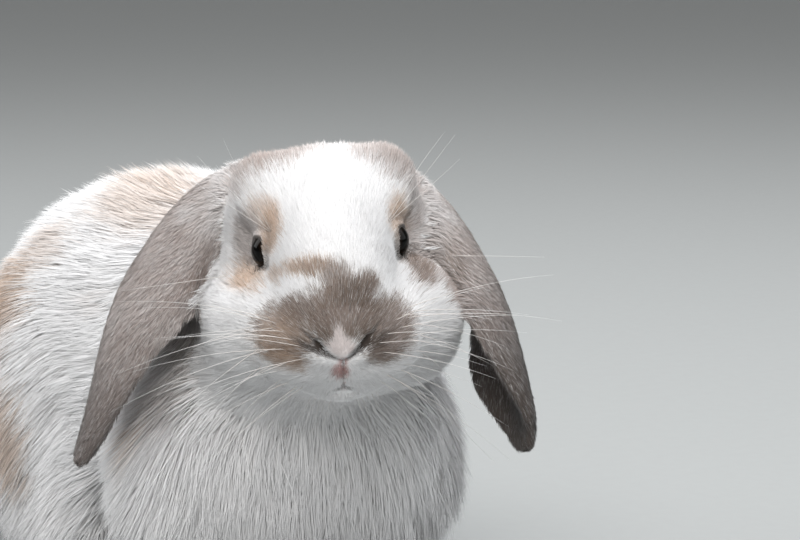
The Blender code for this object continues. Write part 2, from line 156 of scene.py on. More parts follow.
def length_setting(name, description, default, least):
    return FloatProperty(
        name=name, description=description, default=default, min=least, unit="LENGTH"
    )


def share_setting(name, description, default, least, most):
    return FloatProperty(
        name=name,
        description=description,
        default=default,
        min=least,
        max=most,
        subtype="FACTOR",
    )


def colour_setting(name, description, *default):
    return FloatVectorProperty(
        name=name, description=description, default=default, subtype="COLOR"
    )


class CoatSettings(bpy.types.PropertyGroup):
    skin_detail: length_setting(
        "Skin Detail", "Size of the skin's faces away from the face", 1.9 * MM, 0.8 * MM
    )
    coat_depth: share_setting(
        "Coat Depth", "How thick the coat stands, against its natural depth", 1.0, 0.3, 1.2
    )
    fullness: share_setting(
        "Fullness", "Share of the strands that are made", 1.0, 0.01, 1.0
    )
    strand_width: length_setting(
        "Strand Width", "Width of the back's strands; the face's are finer", 0.56 * MM, 0.2 * MM
    )
    whiskers: IntProperty(
        name="Whiskers",
        description="Whiskers on each side of the muzzle",
        default=22,
        min=4,
        max=40,
    )
    white: colour_setting("White", "The coat's white", 0.86, 0.86, 0.87)
    taupe: colour_setting("Taupe", "The ears' grey-brown", 0.40, 0.335, 0.31)
    brown: colour_setting("Brown", "The muzzle's brown", 0.235, 0.18, 0.15)
    tan: colour_setting("Tan", "The pale patches' tan", 0.56, 0.40, 0.29)
    snip: colour_setting("Snip", "The pale mark on the nose", 0.81, 0.745, 0.735)
    # Dark is the lids' rims' colour, and also the painted shade in the nostrils, the mouth, the
    # lip's cleft and the face's shade patches.
    dark: colour_setting("Dark", "Eyelids, nostrils and mouth", 0.035, 0.024, 0.018)
    lip: colour_setting("Lip", "The bare lip", 0.42, 0.19, 0.17)


class StageSettings(bpy.types.PropertyGroup):
    floor_colour: colour_setting("Floor", "The floor's colour", 0.34, 0.35, 0.35)
    key_power: FloatProperty(
        name="Key Light", description="Power of the softboxes", default=22.0, min=0, unit="POWER"
    )
    camera_distance: length_setting(
        "Camera Distance", "From the camera to the eyes", VIEW_DISTANCE * MM, 0.4
    )


# ---------------------------------------------------------------- arrays of points and surfaces

FORWARD = np.array((1, -1, 1))  # frames run back, and places in them are given forward


def in_frame(matrix, points):
    """World points as millimetres to the left, forward and up in a frame."""
    inverse = np.array(matrix.inverted())
    return (points @ inverse[:3, :3].T + inverse[:3, 3]) * FORWARD / MM


def out_of_frame(matrix, points):
    """The world points of millimetres to the left, forward and up in a frame."""
    placed = np.array(matrix)
    return (np.asarray(points, float) * FORWARD * MM) @ placed[:3, :3].T + placed[:3, 3]


def turned_out(matrix, ways):
    """Directions to the left, forward and up in a frame, turned to the world's."""
    return ways @ (np.array(matrix.to_3x3()) * FORWARD).T


def unit(vectors):
    length = np.linalg.norm(vectors, axis=-1, keepdims=True)
    return vectors / np.maximum(length, 1e-12)


def ease(values, low, high):
    """0 below low, 1 above high, and smooth between."""
    share = np.clip((values - low) / (high - low), 0, 1)
    return share * share * (3 - 2 * share)


def blend(first, second, share):
    return first + (second - first) * np.asarray(share)[..., None]


def ripple(points, size, seed):
    """Smooth noise from about -1 to 1 whose features are about a size across."""
    made = np.random.default_rng(seed)
    total = np.zeros(len(points))
    for _ in range(7):
        wave = unit(made.normal(size=3)) * 2 * pi / (size * made.uniform(0.7, 1.6))
        phase = made.uniform(0, 2 * pi)
        total += np.sin(points @ wave + phase + 1.3 * np.sin(points @ wave[::-1] * 0.7))
    return total / 4


def to_curve(points, stations):
    """Each point's distance to a line through stations, and how far along it that is, 0 to 1."""
    stations = np.asarray(stations, float)
    best = np.full(len(points), np.inf)
    along = np.zeros(len(points))
    for i in range(len(stations) - 1):
        start, step = stations[i], stations[i + 1] - stations[i]
        share = np.clip((points - start) @ step / (step @ step), 0, 1)
        distance = np.linalg.norm(points - (start + share[:, None] * step), axis=1)
        closer = distance < best
        best[closer] = distance[closer]
        along[closer] = ((i + share) / (len(stations) - 1))[closer]
    return best, along


class Surface:
    """A mesh's points, normals and edges as arrays."""

    def __init__(self, mesh):
        self.mesh = mesh
        count = len(mesh.vertices)
        self.points = np.zeros(count * 3)
        mesh.vertices.foreach_get("co", self.points)
        self.points = self.points.reshape(-1, 3)
        self.edges = np.zeros(len(mesh.edges) * 2, int)
        mesh.edges.foreach_get("vertices", self.edges)
        self.edges = self.edges.reshape(-1, 2)
        self.links = np.bincount(self.edges.ravel(), minlength=count)

    def normals(self):
        normals = np.zeros(len(self.points) * 3)
        self.mesh.vertices.foreach_get("normal", normals)
        return normals.reshape(-1, 3)

    def spread(self, values, rounds):
        """Average each point's values with its neighbours', some times over."""
        values = np.asarray(values, float)
        columns = values.reshape(len(values), -1)
        first, second = self.edges.T
        for _ in range(rounds):
            sums = [
                np.bincount(first, column[second], len(columns))
                + np.bincount(second, column[first], len(columns))
                for column in columns.T
            ]
            around = np.stack(sums, axis=1) / np.maximum(self.links, 1)[:, None]
            columns = (columns + around) / 2
        return columns.reshape(values.shape)

    def store(self):
        self.mesh.vertices.foreach_set("co", self.points.astype(np.float32).ravel())
        self.mesh.update()


# How values of each kind are kept on a mesh: under which name, how many to a point, and their type.
KINDS = {
    "FLOAT": ("value", 1, np.float32),
    "INT": ("value", 1, np.int32),
    "FLOAT_VECTOR": ("vector", 3, np.float32),
    "FLOAT_COLOR": ("color", 4, np.float32),
}


def keep(mesh, name, kind, values):
    """Store values on a mesh's points under a name. Colours are given without an alpha."""
    field, _, number = KINDS[kind]
    if kind == "FLOAT_COLOR":
        values = np.concatenate([values, np.ones((len(values), 1))], axis=1)
    attribute = mesh.attributes.new(name, kind, "POINT")
    attribute.data.foreach_set(field, np.asarray(values, number).ravel())


def kept(mesh, name):
    """Values stored on a mesh under a name."""
    attribute = mesh.attributes[name]
    field, width, number = KINDS[attribute.data_type]
    values = np.zeros(len(attribute.data) * width, number)
    attribute.data.foreach_get(field, values)
    return values.reshape(-1, width) if width > 1 else values


def mesh_from(name, points, faces):
    """A mesh from arrays of points and of faces that all have the same number of corners."""
    mesh = bpy.data.meshes.new(name)
    corners = faces.shape[1]
    mesh.vertices.add(len(points))
    mesh.vertices.foreach_set("co", np.asarray(points, np.float32).ravel())
    mesh.loops.add(faces.size)
    mesh.loops.foreach_set("vertex_index", faces.ravel().astype(np.int32))
    mesh.polygons.add(len(faces))
    mesh.polygons.foreach_set("loop_start", np.arange(0, faces.size, corners, dtype=np.int32))
    mesh.update(calc_edges=True)
    mesh.shade_smooth()
    return mesh


def place(name, mesh, finish):
    """A new piece of the rabbit that rides with it, in its finish."""
    piece = bpy.data.objects.new(name, mesh)
    bpy.context.scene.collection.objects.link(piece)
    mesh.materials.append(finish)
    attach(piece, "root")
    return piece


def settled(piece):
    """The mesh that a piece's modifiers give."""
    graph = bpy.context.evaluated_depsgraph_get()
    return bpy.data.meshes.new_from_object(piece.evaluated_get(graph))


# ---------------------------------------------------------------- the coat's markings

COLOURS = ("white", "taupe", "brown", "tan", "snip", "dark", "lip")
# Patches of the face as they show on its plane: to the left and up, half width and half height,
# tilt in degrees, softness, colour and strength. Later patches lie over earlier ones.
FACE_PATCHES = {
    "crown right": (-23, 34, 17, 6.5, 10, 0.6, "taupe", 1),
    "crown middle": (-5, 36, 10, 3, 0, 0.7, "taupe", 0.4),
    "crown left": (17, 34, 19, 6, -28, 0.6, "taupe", 0.7),
    "temple left": (33, 18, 5, 12, 8, 0.6, "taupe", 0.6),
    "brow right": (-22, 5, 4.6, 10.5, -6, 0.45, "tan", 0.85),
    "brow right top": (-25, 13, 6, 5.5, 0, 0.6, "tan", 0.6),
    # Painted shade: a darker brown by the right eye.
    "brow right dusk": (-23.5, 2, 2.4, 8, 0, 0.6, "brown", 0.4),
    "eye surround right": (-31, 3, 5.5, 11.5, 0, 0.5, "taupe", 0.7),
    "under eye right": (-30.5, -12, 7, 7, 30, 0.6, "tan", 0.85),
    "under eye right low": (-34, -14, 6, 3.5, 10, 0.7, "tan", 0.4),
    "brow left": (26, 11, 4.4, 8.5, 6, 0.5, "tan", 0.8),
    # Painted shade: a darker brown over the left brow.
    "brow left dusk": (27, 8, 3, 6, 6, 0.6, "brown", 0.5),
    "brow left low": (26.2, 1, 2.3, 8, 0, 0.5, "brown", 0.65),
    "eye surround left": (31, 4, 3.5, 10, 0, 0.5, "taupe", 0.7),
    "under eye left": (33, -8, 5.4, 9.5, 32, 0.5, "taupe", 1),
    # Painted shade: a darker brown under the left eye.
    "under eye left dusk": (33.5, -7, 4.6, 8, 32, 0.6, "brown", 0.9),
    "cheek edge left": (46.5, -16, 15, 4.2, -65, 0.35, "taupe", 1),
    "arch": (-7, -9.3, 10.5, 3.7, 5, 0.4, "tan", 0.85),
    # Painted shade: a darker brown across the nose's arch.
    "arch dusk": (-5, -9.5, 9, 3, 5, 0.6, "brown", 0.6),
    "arch foot": (-20, -12, 2.4, 3.6, -15, 0.5, "tan", 0.6),
    "arch arm": (3, -12.5, 6.5, 6, 0, 0.4, "brown", 0.8),
    "bridge": (5.5, -25, 13.5, 14, 0, 0.24, "brown", 1),
    "bridge top left": (14.6, -15.5, 5.5, 5, 0, 0.35, "brown", 1),
    "muzzle right": (-16, -33, 12.8, 11.6, -8, 0.28, "brown", 0.9),
    "muzzle right top": (-10.5, -25.5, 8.5, 6.5, 20, 0.35, "brown", 0.9),
    "muzzle right low": (-14.5, -42, 8.5, 4.8, -14, 0.35, "brown", 0.8),
    "muzzle right foot": (-14, -44, 7, 3.5, -14, 0.6, "tan", 0.4),
    # Partly a warmer tone in the brown, partly painted light on the muzzle's right lobe.
    "muzzle right glow": (-17, -36, 10, 9, 0, 0.7, "tan", 0.42),
    "muzzle left": (20.5, -30, 12.2, 11.2, 4, 0.28, "brown", 0.95),
    "muzzle left low": (20.5, -40, 7, 5, 16, 0.35, "brown", 0.95),
    # Partly a paler tone in the brown, partly painted light on the muzzle's left lobe.
    "muzzle left glow": (25, -33, 7, 8, 0, 0.7, "taupe", 0.4),
    "bridge shade": (11, -19, 9, 6.5, 0, 0.7, "dark", 0.34),
    "bridge mist": (6, -28, 9, 4.5, 0, 0.7, "taupe", 0.4),
    "nostril shade right": (-7.5, -38, 5.5, 2, -28, 0.6, "dark", 0.5),
    "nostril shade left": (17.5, -36.5, 6.5, 2.8, 32, 0.6, "dark", 0.6),
    "snip": (5.3, -38.6, 5, 4.4, 0, 0.35, "snip", 1),
    "snip top": (4.2, -33.8, 2.2, 3.2, 8, 0.45, "snip", 0.9),
    # Painted shadow in the creases between the nostrils and the snip.
    "nostril line right": (-3.5, -40.2, 8, 1.2, -23, 0.5, "dark", 0.7),
    "nostril line left": (11.7, -39, 7, 1.2, 41, 0.5, "dark", 0.7),
    "lip": (4.6, -47.5, 3.4, 3.0, 0, 0.5, "lip", 0.75),
}
# Patches of the body: centre and radii in the world, softness, colour and strength.
BODY_PATCHES = {
    "shoulder spot": ((-24, 0, 152), (20, 34, 13), 0.5, "tan", 0.5),
    "spine line": ((-8, 20, 162), (14, 60, 9), 0.5, "tan", 0.5),
    "loin spot": ((-48, 36, 133), (8, 16, 12), 0.5, "tan", 0.4),
    "flank patch right": ((-66, 62, 108), (18, 28, 24), 0.4, "tan", 0.95),
    # Painted shade: a darker brown on the flank patch's lower front.
    "flank patch dusk": ((-68, 54, 104), (12, 18, 18), 0.5, "brown", 0.3),
    "haunch patch right": ((-77, 30, 52), (14, 19, 22), 0.4, "tan", 0.7),
    "elbow spot right": ((-67, -81, 73), (7, 8, 10), 0.5, "tan", 0.7),
    "neck shade right": ((-44, -91, 111), (10, 15, 15), 0.6, "brown", 0.7),
    "neck shade right low": ((-55, -94, 92), (8, 12, 12), 0.6, "taupe", 0.5),
    "rib spot right": ((-56, -20, 116), (7, 9, 7), 0.6, "tan", 0.18),
    "rump patch": ((6, 128, 118), (44, 30, 30), 0.4, "tan", 0.6),
    "flank patch left": ((72, 66, 104), (20, 30, 22), 0.4, "tan", 0.65),
    "loin spot left": ((44, 26, 142), (12, 20, 12), 0.5, "tan", 0.4),
    "shoulder spot left": ((62, -52, 100), (12, 14, 16), 0.5, "tan", 0.5),
    "haunch patch left": ((80, 24, 48), (14, 17, 20), 0.4, "tan", 0.5),
    "tail top": ((3, 170, 88), (16, 9, 20), 0.5, "brown", 0.5),
}


def face_plane(points):
    """World points as they show on the face's plane: to the left, and up."""
    left, toward, up = in_frame(FACE, points).T
    spread = 1 + toward / VIEW_DISTANCE
    return left * spread, up * spread


def markings(points, zones, settings, ragged):
    """The coat's colour at world points. ragged moves the edges of the patches hair by hair."""
    head_points = in_frame(HEAD, points)
    across, rise = face_plane(points)
    front = ease(head_points[:, 1], -62, -46)
    colours = {name: np.array(getattr(settings, name)) for name in COLOURS}
    made = np.tile(colours["white"], (len(points), 1)).astype(float)
    wander = ripple(points, 9 * MM, 3) * 0.11 + ripple(points, 3.5 * MM, 4) * 0.07
    on_head = (zones == "head").astype(float)
    for left, up, wide, high, tilt, softness, colour, strength in FACE_PATCHES.values():
        turn = radians(tilt)
        x, y = across - left, rise - up
        along, over = x * cos(turn) + y * sin(turn), y * cos(turn) - x * sin(turn)
        radius = np.hypot(along / wide, over / high) + wander + ragged * 0.1
        mask = (1 - ease(radius, 1 - softness, 1 + softness * 0.6)) * strength * front * on_head
        made = blend(made, colours[colour], mask)
    wander = ripple(points, 22 * MM, 8) * 0.2
    on_body = (1 - on_head) * (zones != "ear")
    for centre, radii, softness, colour, strength in BODY_PATCHES.values():
        offset = (points / MM - np.array(centre)) / np.array(radii)
        radius = np.linalg.norm(offset, axis=1) + wander + ragged * 0.14
        mask = (1 - ease(radius, 1 - softness, 1 + softness)) * strength * on_body
        made = blend(made, colours[colour], mask)
    return ear_markings(made, points, zones, colours, ragged, head_points)


def blot(places, centre, radii, core, strength):
    """A round spot of a strength whose edge fades out from its core."""
    return (1 - ease(np.linalg.norm((places - centre) / radii, axis=1), core, 1.3)) * strength


def ear_markings(made, points, zones, colours, ragged, head_points):
    """Taupe ears, pale at their roots and darker towards their tips with painted shade, and a taupe
    shade behind them.
    """
    level = in_frame(LEVEL_HEAD, points)
    ear = (zones == "ear").astype(float)
    root = (1 - ease(np.abs(level[:, 0]), 36, 56)) * ease(level[:, 2], -12, 12)
    pale = root * 0.45 + 0.14 + ripple(points, 14 * MM, 12) * 0.1 + ragged * 0.07
    shade = blend(colours["taupe"], colours["white"], np.clip(pale, 0, 1))
    left = level[:, 0] > 0
    # The ears darken towards their tips: painted shade, starting higher and deeper on the left ear,
    # whose inner side lies in shadow.
    low = ease(-level[:, 2] + 26 * left, 22, 84)
    tip = np.where(left[:, None], colours["brown"] * 0.3, colours["taupe"] * 0.45)
    shade = blend(shade, tip, low * 0.9)
    spots = blot(level, (52, -16, 10), (7, 12, 6), 0.6, 0.55)
    spots += blot(level, (-56, -16, 12), (8, 12, 7), 0.6, 0.5)
    shade = blend(shade, colours["white"], np.clip(spots, 0, 1))
    # A brown blot on each ear's inner edge, by the cheek: painted shade.
    base_shade = blot(level, (46, -8, -12), (7, 12, 12), 0.4, 0.6)
    base_shade += blot(level, (-46, -8, -16), (7, 12, 12), 0.4, 0.5)
    shade = blend(shade, colours["brown"], np.clip(base_shade, 0, 1))
    made = blend(made, shade, ear)
    reach = np.linalg.norm((np.abs(head_points) - (29, 33, 12)) / (17, 14, 15), axis=1)
    behind = np.isin(zones, ("head", "neck")) & (head_points[:, 1] < 0)
    near = (1 - ease(reach + ragged * 0.1, 0.5, 1.25)) * behind
    return blend(made, colours["taupe"] * 1.25, near * 0.7)


# ---------------------------------------------------------------- node materials


class Value:
    """A node's output, with the arithmetic that adds Math nodes."""

    def __init__(self, finish, socket):
        self.finish = finish
        self.socket = socket

    def __add__(self, other):
        return self.finish.maths("ADD", self, other)

    def __radd__(self, other):
        return self.finish.maths("ADD", other, self)

    def __sub__(self, other):
        return self.finish.maths("SUBTRACT", self, other)

    def __rsub__(self, other):
        return self.finish.maths("SUBTRACT", other, self)

    def __mul__(self, other):
        return self.finish.maths("MULTIPLY", self, other)

    def __rmul__(self, other):
        return self.finish.maths("MULTIPLY", other, self)


class Finish:
    """A material whose shader is a Principled BSDF."""

    def __init__(self, name, **uniform):
        self.material = bpy.data.materials.new(name)
        self.material.use_nodes = True
        self.tree = self.material.node_tree
        self.shader = self.tree.nodes["Principled BSDF"]
        for socket, value in uniform.items():
            self.shader.inputs[socket.replace("_", " ")].default_value = value

    def node(self, kind, settings, output, **inputs):
        """Add a node: its settings first, then the values or links of its sockets."""
        made = self.tree.nodes.new(kind)
        for setting, value in settings.items():
            if setting == "stops":
                ramp = made.color_ramp.elements
                ramp[0].position, ramp[0].color = value[0]
                ramp[1].position, ramp[1].color = value[-1]
                for position, colour in value[1:-1]:
                    ramp.new(position).color = colour
            else:
                setattr(made, setting, value)
        for socket, value in inputs.items():
            number = socket[1:]
            key = int(number) if number.isdigit() else socket.replace("_", " ")
            self.feed(made.inputs[key], value)
        return Value(self, made.outputs[output])

    def feed(self, socket, value):
        if isinstance(value, Value):
            self.tree.links.new(value.socket, socket)
        else:
            socket.default_value = value

    def maths(self, operation, first, second):
        return self.node("ShaderNodeMath", {"operation": operation}, 0, _0=first, _1=second)

    def mix(self, share, first, second, kind="MIX"):
        """Mix two colours."""
        settings = {"data_type": "RGBA", "blend_type": kind}
        return self.node("ShaderNodeMix", settings, 2, _0=share, _6=first, _7=second)

    def places(self):
        """Where the surface is, in metres."""
        return self.node("ShaderNodeTexCoord", {}, "Object")

    def noise(self, scale, detail):
        sockets = {"Vector": self.places(), "Scale": scale, "Detail": detail}
        return self.node("ShaderNodeTexNoise", {}, "Fac", **sockets)

    def attribute(self, name, output):
        return self.node("ShaderNodeAttribute", {"attribute_name": name}, output)

    def shine(self, **sockets):
        """Feed the shader what changes over the surface."""
        for socket, value in sockets.items():
            self.feed(self.shader.inputs[socket.replace("_", " ")], value)

    def bump(self, height, distance, strength=1.0):
        sockets = {"Height": height, "Distance": distance, "Strength": strength}
        return self.node("ShaderNodeBump", {}, "Normal", **sockets)


def grey(level):
    return (level, level, level, 1)


def skin_finish():
    """Skin and underfur: the coat's own colour, mottled, with a fine nap."""
    made = Finish("skin and underfur", Roughness=0.8, Sheen_Weight=0.15, Sheen_Roughness=0.5)
    mottle = made.noise(900, 4.0)
    colour = made.mix(mottle * 0.25, made.attribute("coat_colour", "Color"), grey(0.5), "MULTIPLY")
    made.shine(Base_Color=colour, Normal=made.bump(made.noise(1500, 5.0), 0.3 * MM, 0.5))
    return made.material


def fur_finish():
    """A strand: darker and warmer at its root, silky at its tip."""
    made = Finish("fur", Sheen_Weight=0.25, Sheen_Roughness=0.4, Specular_IOR_Level=0.35)
    along = made.attribute("along", "Fac")
    colour = made.attribute("coat_colour", "Color")
    root = made.mix(1.0, colour, (0.90, 0.87, 0.85, 1), "MULTIPLY")
    fine = made.noise(2400, 2.0)
    shown = made.mix(along, root, colour)
    shown = made.mix(fine * 0.08, shown, grey(0.4), "MULTIPLY")
    made.shine(Base_Color=shown, Roughness=0.72 - along * 0.2)
    return made.material


def eye_finish(side):
    """A wet, near-black eye: a wide pupil, a dark brown iris and a pale rim."""
    made = Finish("eye " + side, Coat_Weight=0.08, Coat_Roughness=0.02, IOR=1.17)
    out = made.attribute("out_of_pupil", "Fac")
    stops = (
        (0.0, (0.0012, 0.001, 0.001, 1)),
        (0.5, (0.0015, 0.0012, 0.001, 1)),
        (0.56, (0.007, 0.004, 0.0025, 1)),
        (0.86, (0.012, 0.006, 0.0035, 1)),
        (0.93, (0.006, 0.004, 0.003, 1)),
        (1.0, (0.09, 0.07, 0.06, 1)),
    )
    iris = made.node("ShaderNodeValToRGB", {"stops": stops}, "Color", Fac=out)
    streaks = made.noise(1100, 4.0)
    colour = made.mix(streaks * 0.5, iris, grey(0.3), "MULTIPLY")
    made.shine(Base_Color=colour, Roughness=0.06 + streaks * 0.05)
    return made.material


def claw_finish():
    """Pale horn with growth rings."""
    made = Finish("claw horn", Coat_Weight=0.3, Coat_Roughness=0.2)
    sockets = {"Vector": made.places(), "Scale": 260.0, "Distortion": 1.5}
    rings = made.node("ShaderNodeTexWave", {"bands_direction": "Y"}, "Fac", **sockets)
    colour = made.mix(rings * 0.5, (0.52, 0.42, 0.34, 1), (0.28, 0.20, 0.15, 1))
    made.shine(Base_Color=colour, Roughness=0.4 + rings * 0.15, Normal=made.bump(rings, 0.05 * MM))
    return made.material


def whisker_finish():
    """A hair that pales towards its tip."""
    made = Finish("whisker", Sheen_Weight=0.1)
    along = made.attribute("along", "Fac")
    colour = made.mix(along, (0.62, 0.56, 0.52, 1), (0.93, 0.93, 0.93, 1))
    made.shine(Base_Color=colour, Roughness=0.5 - along * 0.15)
    return made.material


# ---------------------------------------------------------------- skin

EAR_SWELL, SWELL = 0.9 * MM, 0.4 * MM  # how far the ears' and the other solids swell, to join
LID = 1 * MM  # how thick the flesh is over the eyeballs
FINE_EYE, FINE_MUZZLE = 15 * MM, 21 * MM  # how far their fine faces reach
SUNK_HEAD, SUNK_BODY = 0.72, 0.9  # how far the skin sinks, for a coat's depth of one
SUNK_MOST = 0.3  # and at most, for a thickness of one


def flesh_with_lids():
    """The frame's flesh solids, swollen until they meet, with lids over the eyes."""
    whole = bmesh.new()
    for name in FLESH:
        part = bmesh.new()
        part.from_mesh(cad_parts[name].data)
        bmesh.ops.remove_doubles(part, verts=part.verts, dist=1e-6)
        part.normal_update()
        swell = EAR_SWELL if name.startswith("ear") else SWELL
        for vertex in part.verts:
            vertex.co += vertex.normal * swell
        mesh = bpy.data.meshes.new("part")
        part.to_mesh(mesh)
        part.free()
        whole.from_mesh(mesh)
        bpy.data.meshes.remove(mesh)
    for centre in EYE_CENTRES.values():
        bmesh.ops.create_uvsphere(
            whole,
            u_segments=32,
            v_segments=20,
            radius=EYE_RADIUS + LID,
            matrix=Matrix.Translation(centre),
        )
    mesh = bpy.data.meshes.new("flesh")
    whole.to_mesh(mesh)
    whole.free()
    return mesh


def solids_tree(names):
    """A search tree over some of the frame's solids, and the zone of each of its faces."""
    vertices, faces, owners = [], [], []
    for name in names:
        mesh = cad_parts[name].data
        first = len(vertices)
        vertices.extend(vertex.co.copy() for vertex in mesh.vertices)
        faces.extend([first + i for i in face.vertices] for face in mesh.polygons)
        owners.extend([name.split("_")[0]] * len(mesh.polygons))
    return BVHTree.FromPolygons(vertices, faces), owners


def nearest_zones(points):
    """The zone of the frame's solid that is nearest to each point."""
    tree, owners = solids_tree(FLESH)
    return np.array([owners[tree.find_nearest(Vector(point))[2]] for point in points])


def depth_from(place, distance):
    """The coat's depth at distances from a place, in millimetres."""
    return np.interp(distance, *DEPTH_FROM[place])


def coat_depth(surface, zones):
    """How deep the coat is over each point, in metres."""
    points = surface.points
    head_points = in_frame(HEAD, points)
    on_head = zones == "head"
    depth = np.array([DEPTH.get(zone, 0) for zone in zones], float)
    chest = (1 - ease(points[:, 1] / MM, -118, -92)) * ease(points[:, 2] / MM, 16, 34)
    depth += RUFF * chest * np.isin(zones, CHEST_ZONES)
    from_nose = np.linalg.norm(head_points - NOSE_TIP, axis=1)
    jaw = ease(-head_points[:, 2], 26, 46) * JOWL * ease(from_nose, 22, 45)
    depth[on_head] = (depth_from("nose", from_nose) + jaw)[on_head]
    from_skull = np.linalg.norm(head_points - SKULL, axis=1)
    depth = np.where(on_head, depth, np.minimum(depth, depth_from("skull", from_skull)))
    depth = surface.spread(depth, 22)
    # The cheeks' hair is short beside the ears, so that it doesn't hang over them.
    ears = solids_tree([name for name in FLESH if name.startswith("ear")])[0]
    from_ear = np.array([ears.find_nearest(Vector(point))[3] for point in points]) / MM
    beside = depth_from("ear", from_ear) + 6 * ease(in_frame(LEVEL_HEAD, points)[:, 2], 14, 26)
    depth = np.where(on_head, np.minimum(depth, beside), depth)
    for centre in EYE_CENTRES.values():
        from_eye = np.linalg.norm(points - np.array(centre), axis=1) / MM
        depth = np.minimum(depth, depth_from("eye", from_eye))
    return np.where(on_head, np.minimum(depth, depth_from("nostrils", from_nose)), depth) * MM


def local_thickness(surface, normals, where):
    """How thick the solid is under each of the chosen points; elsewhere as good as endless."""
    faces = [face.vertices[:] for face in surface.mesh.polygons]
    tree = BVHTree.FromPolygons([Vector(point) for point in surface.points], faces)
    thickness = np.full(len(surface.points), 1.0)
    for i in np.nonzero(where)[0]:
        inward = Vector(-normals[i])
        found = tree.ray_cast(Vector(surface.points[i]) + inward * 0.2 * MM, inward, 50 * MM)
        if found[0] is not None:
            thickness[i] = found[3]
    return thickness


def sink_skin(surface, zones, depth):
    """Move the outer surface in by most of the coat's depth, and less where the solid is thin."""
    normals = unit(surface.spread(surface.normals(), 3))
    thin = np.isin(zones, ("ear", "forepaw", "hindfoot", "tail"))
    thickness = surface.spread(local_thickness(surface, normals, thin), 1)
    share = np.where(zones == "head", SUNK_HEAD, SUNK_BODY)
    sunk = np.minimum(depth * share, SUNK_MOST * thickness)
    surface.points -= normals * sunk[:, None]
    surface.points = surface.spread(surface.points, 3)


def refine(mesh, centre, radius):
    """Divide the faces near a point twice, the second time a little nearer to it."""
    shape = bmesh.new()
    shape.from_mesh(mesh)
    for share in (1, 0.85):
        near = {
            edge
            for face in shape.faces
            if (face.calc_center_median() - centre).length < radius * share
            for edge in face.edges
        }
        bmesh.ops.subdivide_edges(
            shape, edges=list(near), cuts=1, use_grid_fill=True, smooth=0.0
        )
    bmesh.ops.triangulate(shape, faces=[face for face in shape.faces if len(face.verts) > 4])
    shape.to_mesh(mesh)
    shape.free()


def eye_frame(side):
    """The eye's own axes: out of the eye, forward and up."""
    out = Vector((EYE_AXIS[0] * SIDES[side], -EYE_AXIS[1], EYE_AXIS[2])).normalized()
    turned = HEAD.to_3x3()
    out = (turned @ out).normalized()
    forward = turned @ Vector((0, -1, 0))
    forward = (forward - out * forward.dot(out)).normalized()
    return np.array(out), np.array(forward), np.array(forward.cross(out) * SIDES[side])


def around_eye(points, side):
    """How far out of an eye's opening points lie, whose rim is at 1, and their offsets.

    Points behind the eye or far from it are at 9.
    """
    out, forward, up = eye_frame(side)
    offsets = points - np.array(EYE_CENTRES[side])
    distance = np.linalg.norm(offsets, axis=1)
    facing = offsets @ out
    along = np.arctan2(offsets @ forward, facing) / EYE_OPENING[0]
    over = np.arctan2(offsets @ up, facing) / EYE_OPENING[1]
    lid = np.clip(1 - 0.12 * np.abs(along) ** 2.2, 0.6, 1)
    ring = np.hypot(along, over / lid)
    near = (facing > -0.2 * EYE_RADIUS) & (distance < 19 * MM)
    return np.where(near, ring, 9.0), offsets


def sculpt_lids(points):
    """Lids with thick rims about an almond opening over each eye."""
    for side in SIDES:
        ring, offsets = around_eye(points, side)
        rim = EYE_RADIUS + np.interp(ring, LIDS[0], np.array(LIDS[1]) * MM)
        placed = np.array(EYE_CENTRES[side]) + unit(offsets) * rim[:, None]
        points[:] = blend(points, placed, 1 - ease(ring, 1.3, 1.95))


def groove(head_points, stations, width, depth, fade=0.25, open_at=None):
    """How deep a groove along a line is at each point. It may open wider at one place."""
    flatten = np.array((1, 0.35, 1))
    distance, along = to_curve(head_points * flatten, stations * flatten)
    ends = 1 - (1 - fade) * ease(along, 0.6, 1.0)
    wide = width * (0.6 + 0.4 * ends)
    if open_at is not None:
        wide = wide * (1 + 1.2 * np.exp(-(((along - open_at) / 0.2) ** 2)))
    return depth * ends * np.exp(-((distance / wide) ** 2))


def nostril(head_points, side, width, depth):
    """The nostril's slit, which opens into a hollow near its outer end."""
    cut = groove(head_points, NOSTRIL * np.array((side, 1, 1)), width, depth, 0.45, 0.66)
    return cut * (0.45 + 0.55 * ease(np.abs(head_points[:, 0]), 2.5, 6.5))


def mouth(head_points, side, width, depth):
    """The line of the mouth, shallow where it meets the cleft of the lip."""
    cut = groove(head_points, MOUTH * np.array((side, 1, 1)), width, depth, 0.1)
    return cut * (1 - 0.8 * ease(np.abs(head_points[:, 0]), 1.5, 6))


def sculpt_muzzle(points):
    """Nostrils, the cleft of the lip, the mouth, and the swells between them."""
    head_points = in_frame(HEAD, points)
    left, forward, up = head_points.T

    def swell(x, z, wide, high, height):
        return height * np.exp(-(((left - x) / wide) ** 2 + ((up - z) / high) ** 2))

    facing = ease(forward, 34, 42)
    pushed = np.zeros(len(points))
    for side in SIDES.values():
        pushed -= nostril(head_points, side, 0.9, 2.8)
        pushed -= mouth(head_points, side, 0.9, 1.9)
        pushed += swell(side * 7.5, -5.6, 3.4, 2.2, 0.7) + swell(side * 8.5, -13, 6.5, 5.5, 0.8)
    pushed -= groove(head_points, LIP_CLEFT, 0.7, 1.8, 0.8)
    pushed += swell(0, -1.0, 4.5, 3.0, 0.8)
    pushed += swell(0, -26, 5, 3, 0.7)
    head_points[:, 1] += pushed * facing
    points[:] = out_of_frame(HEAD, head_points)


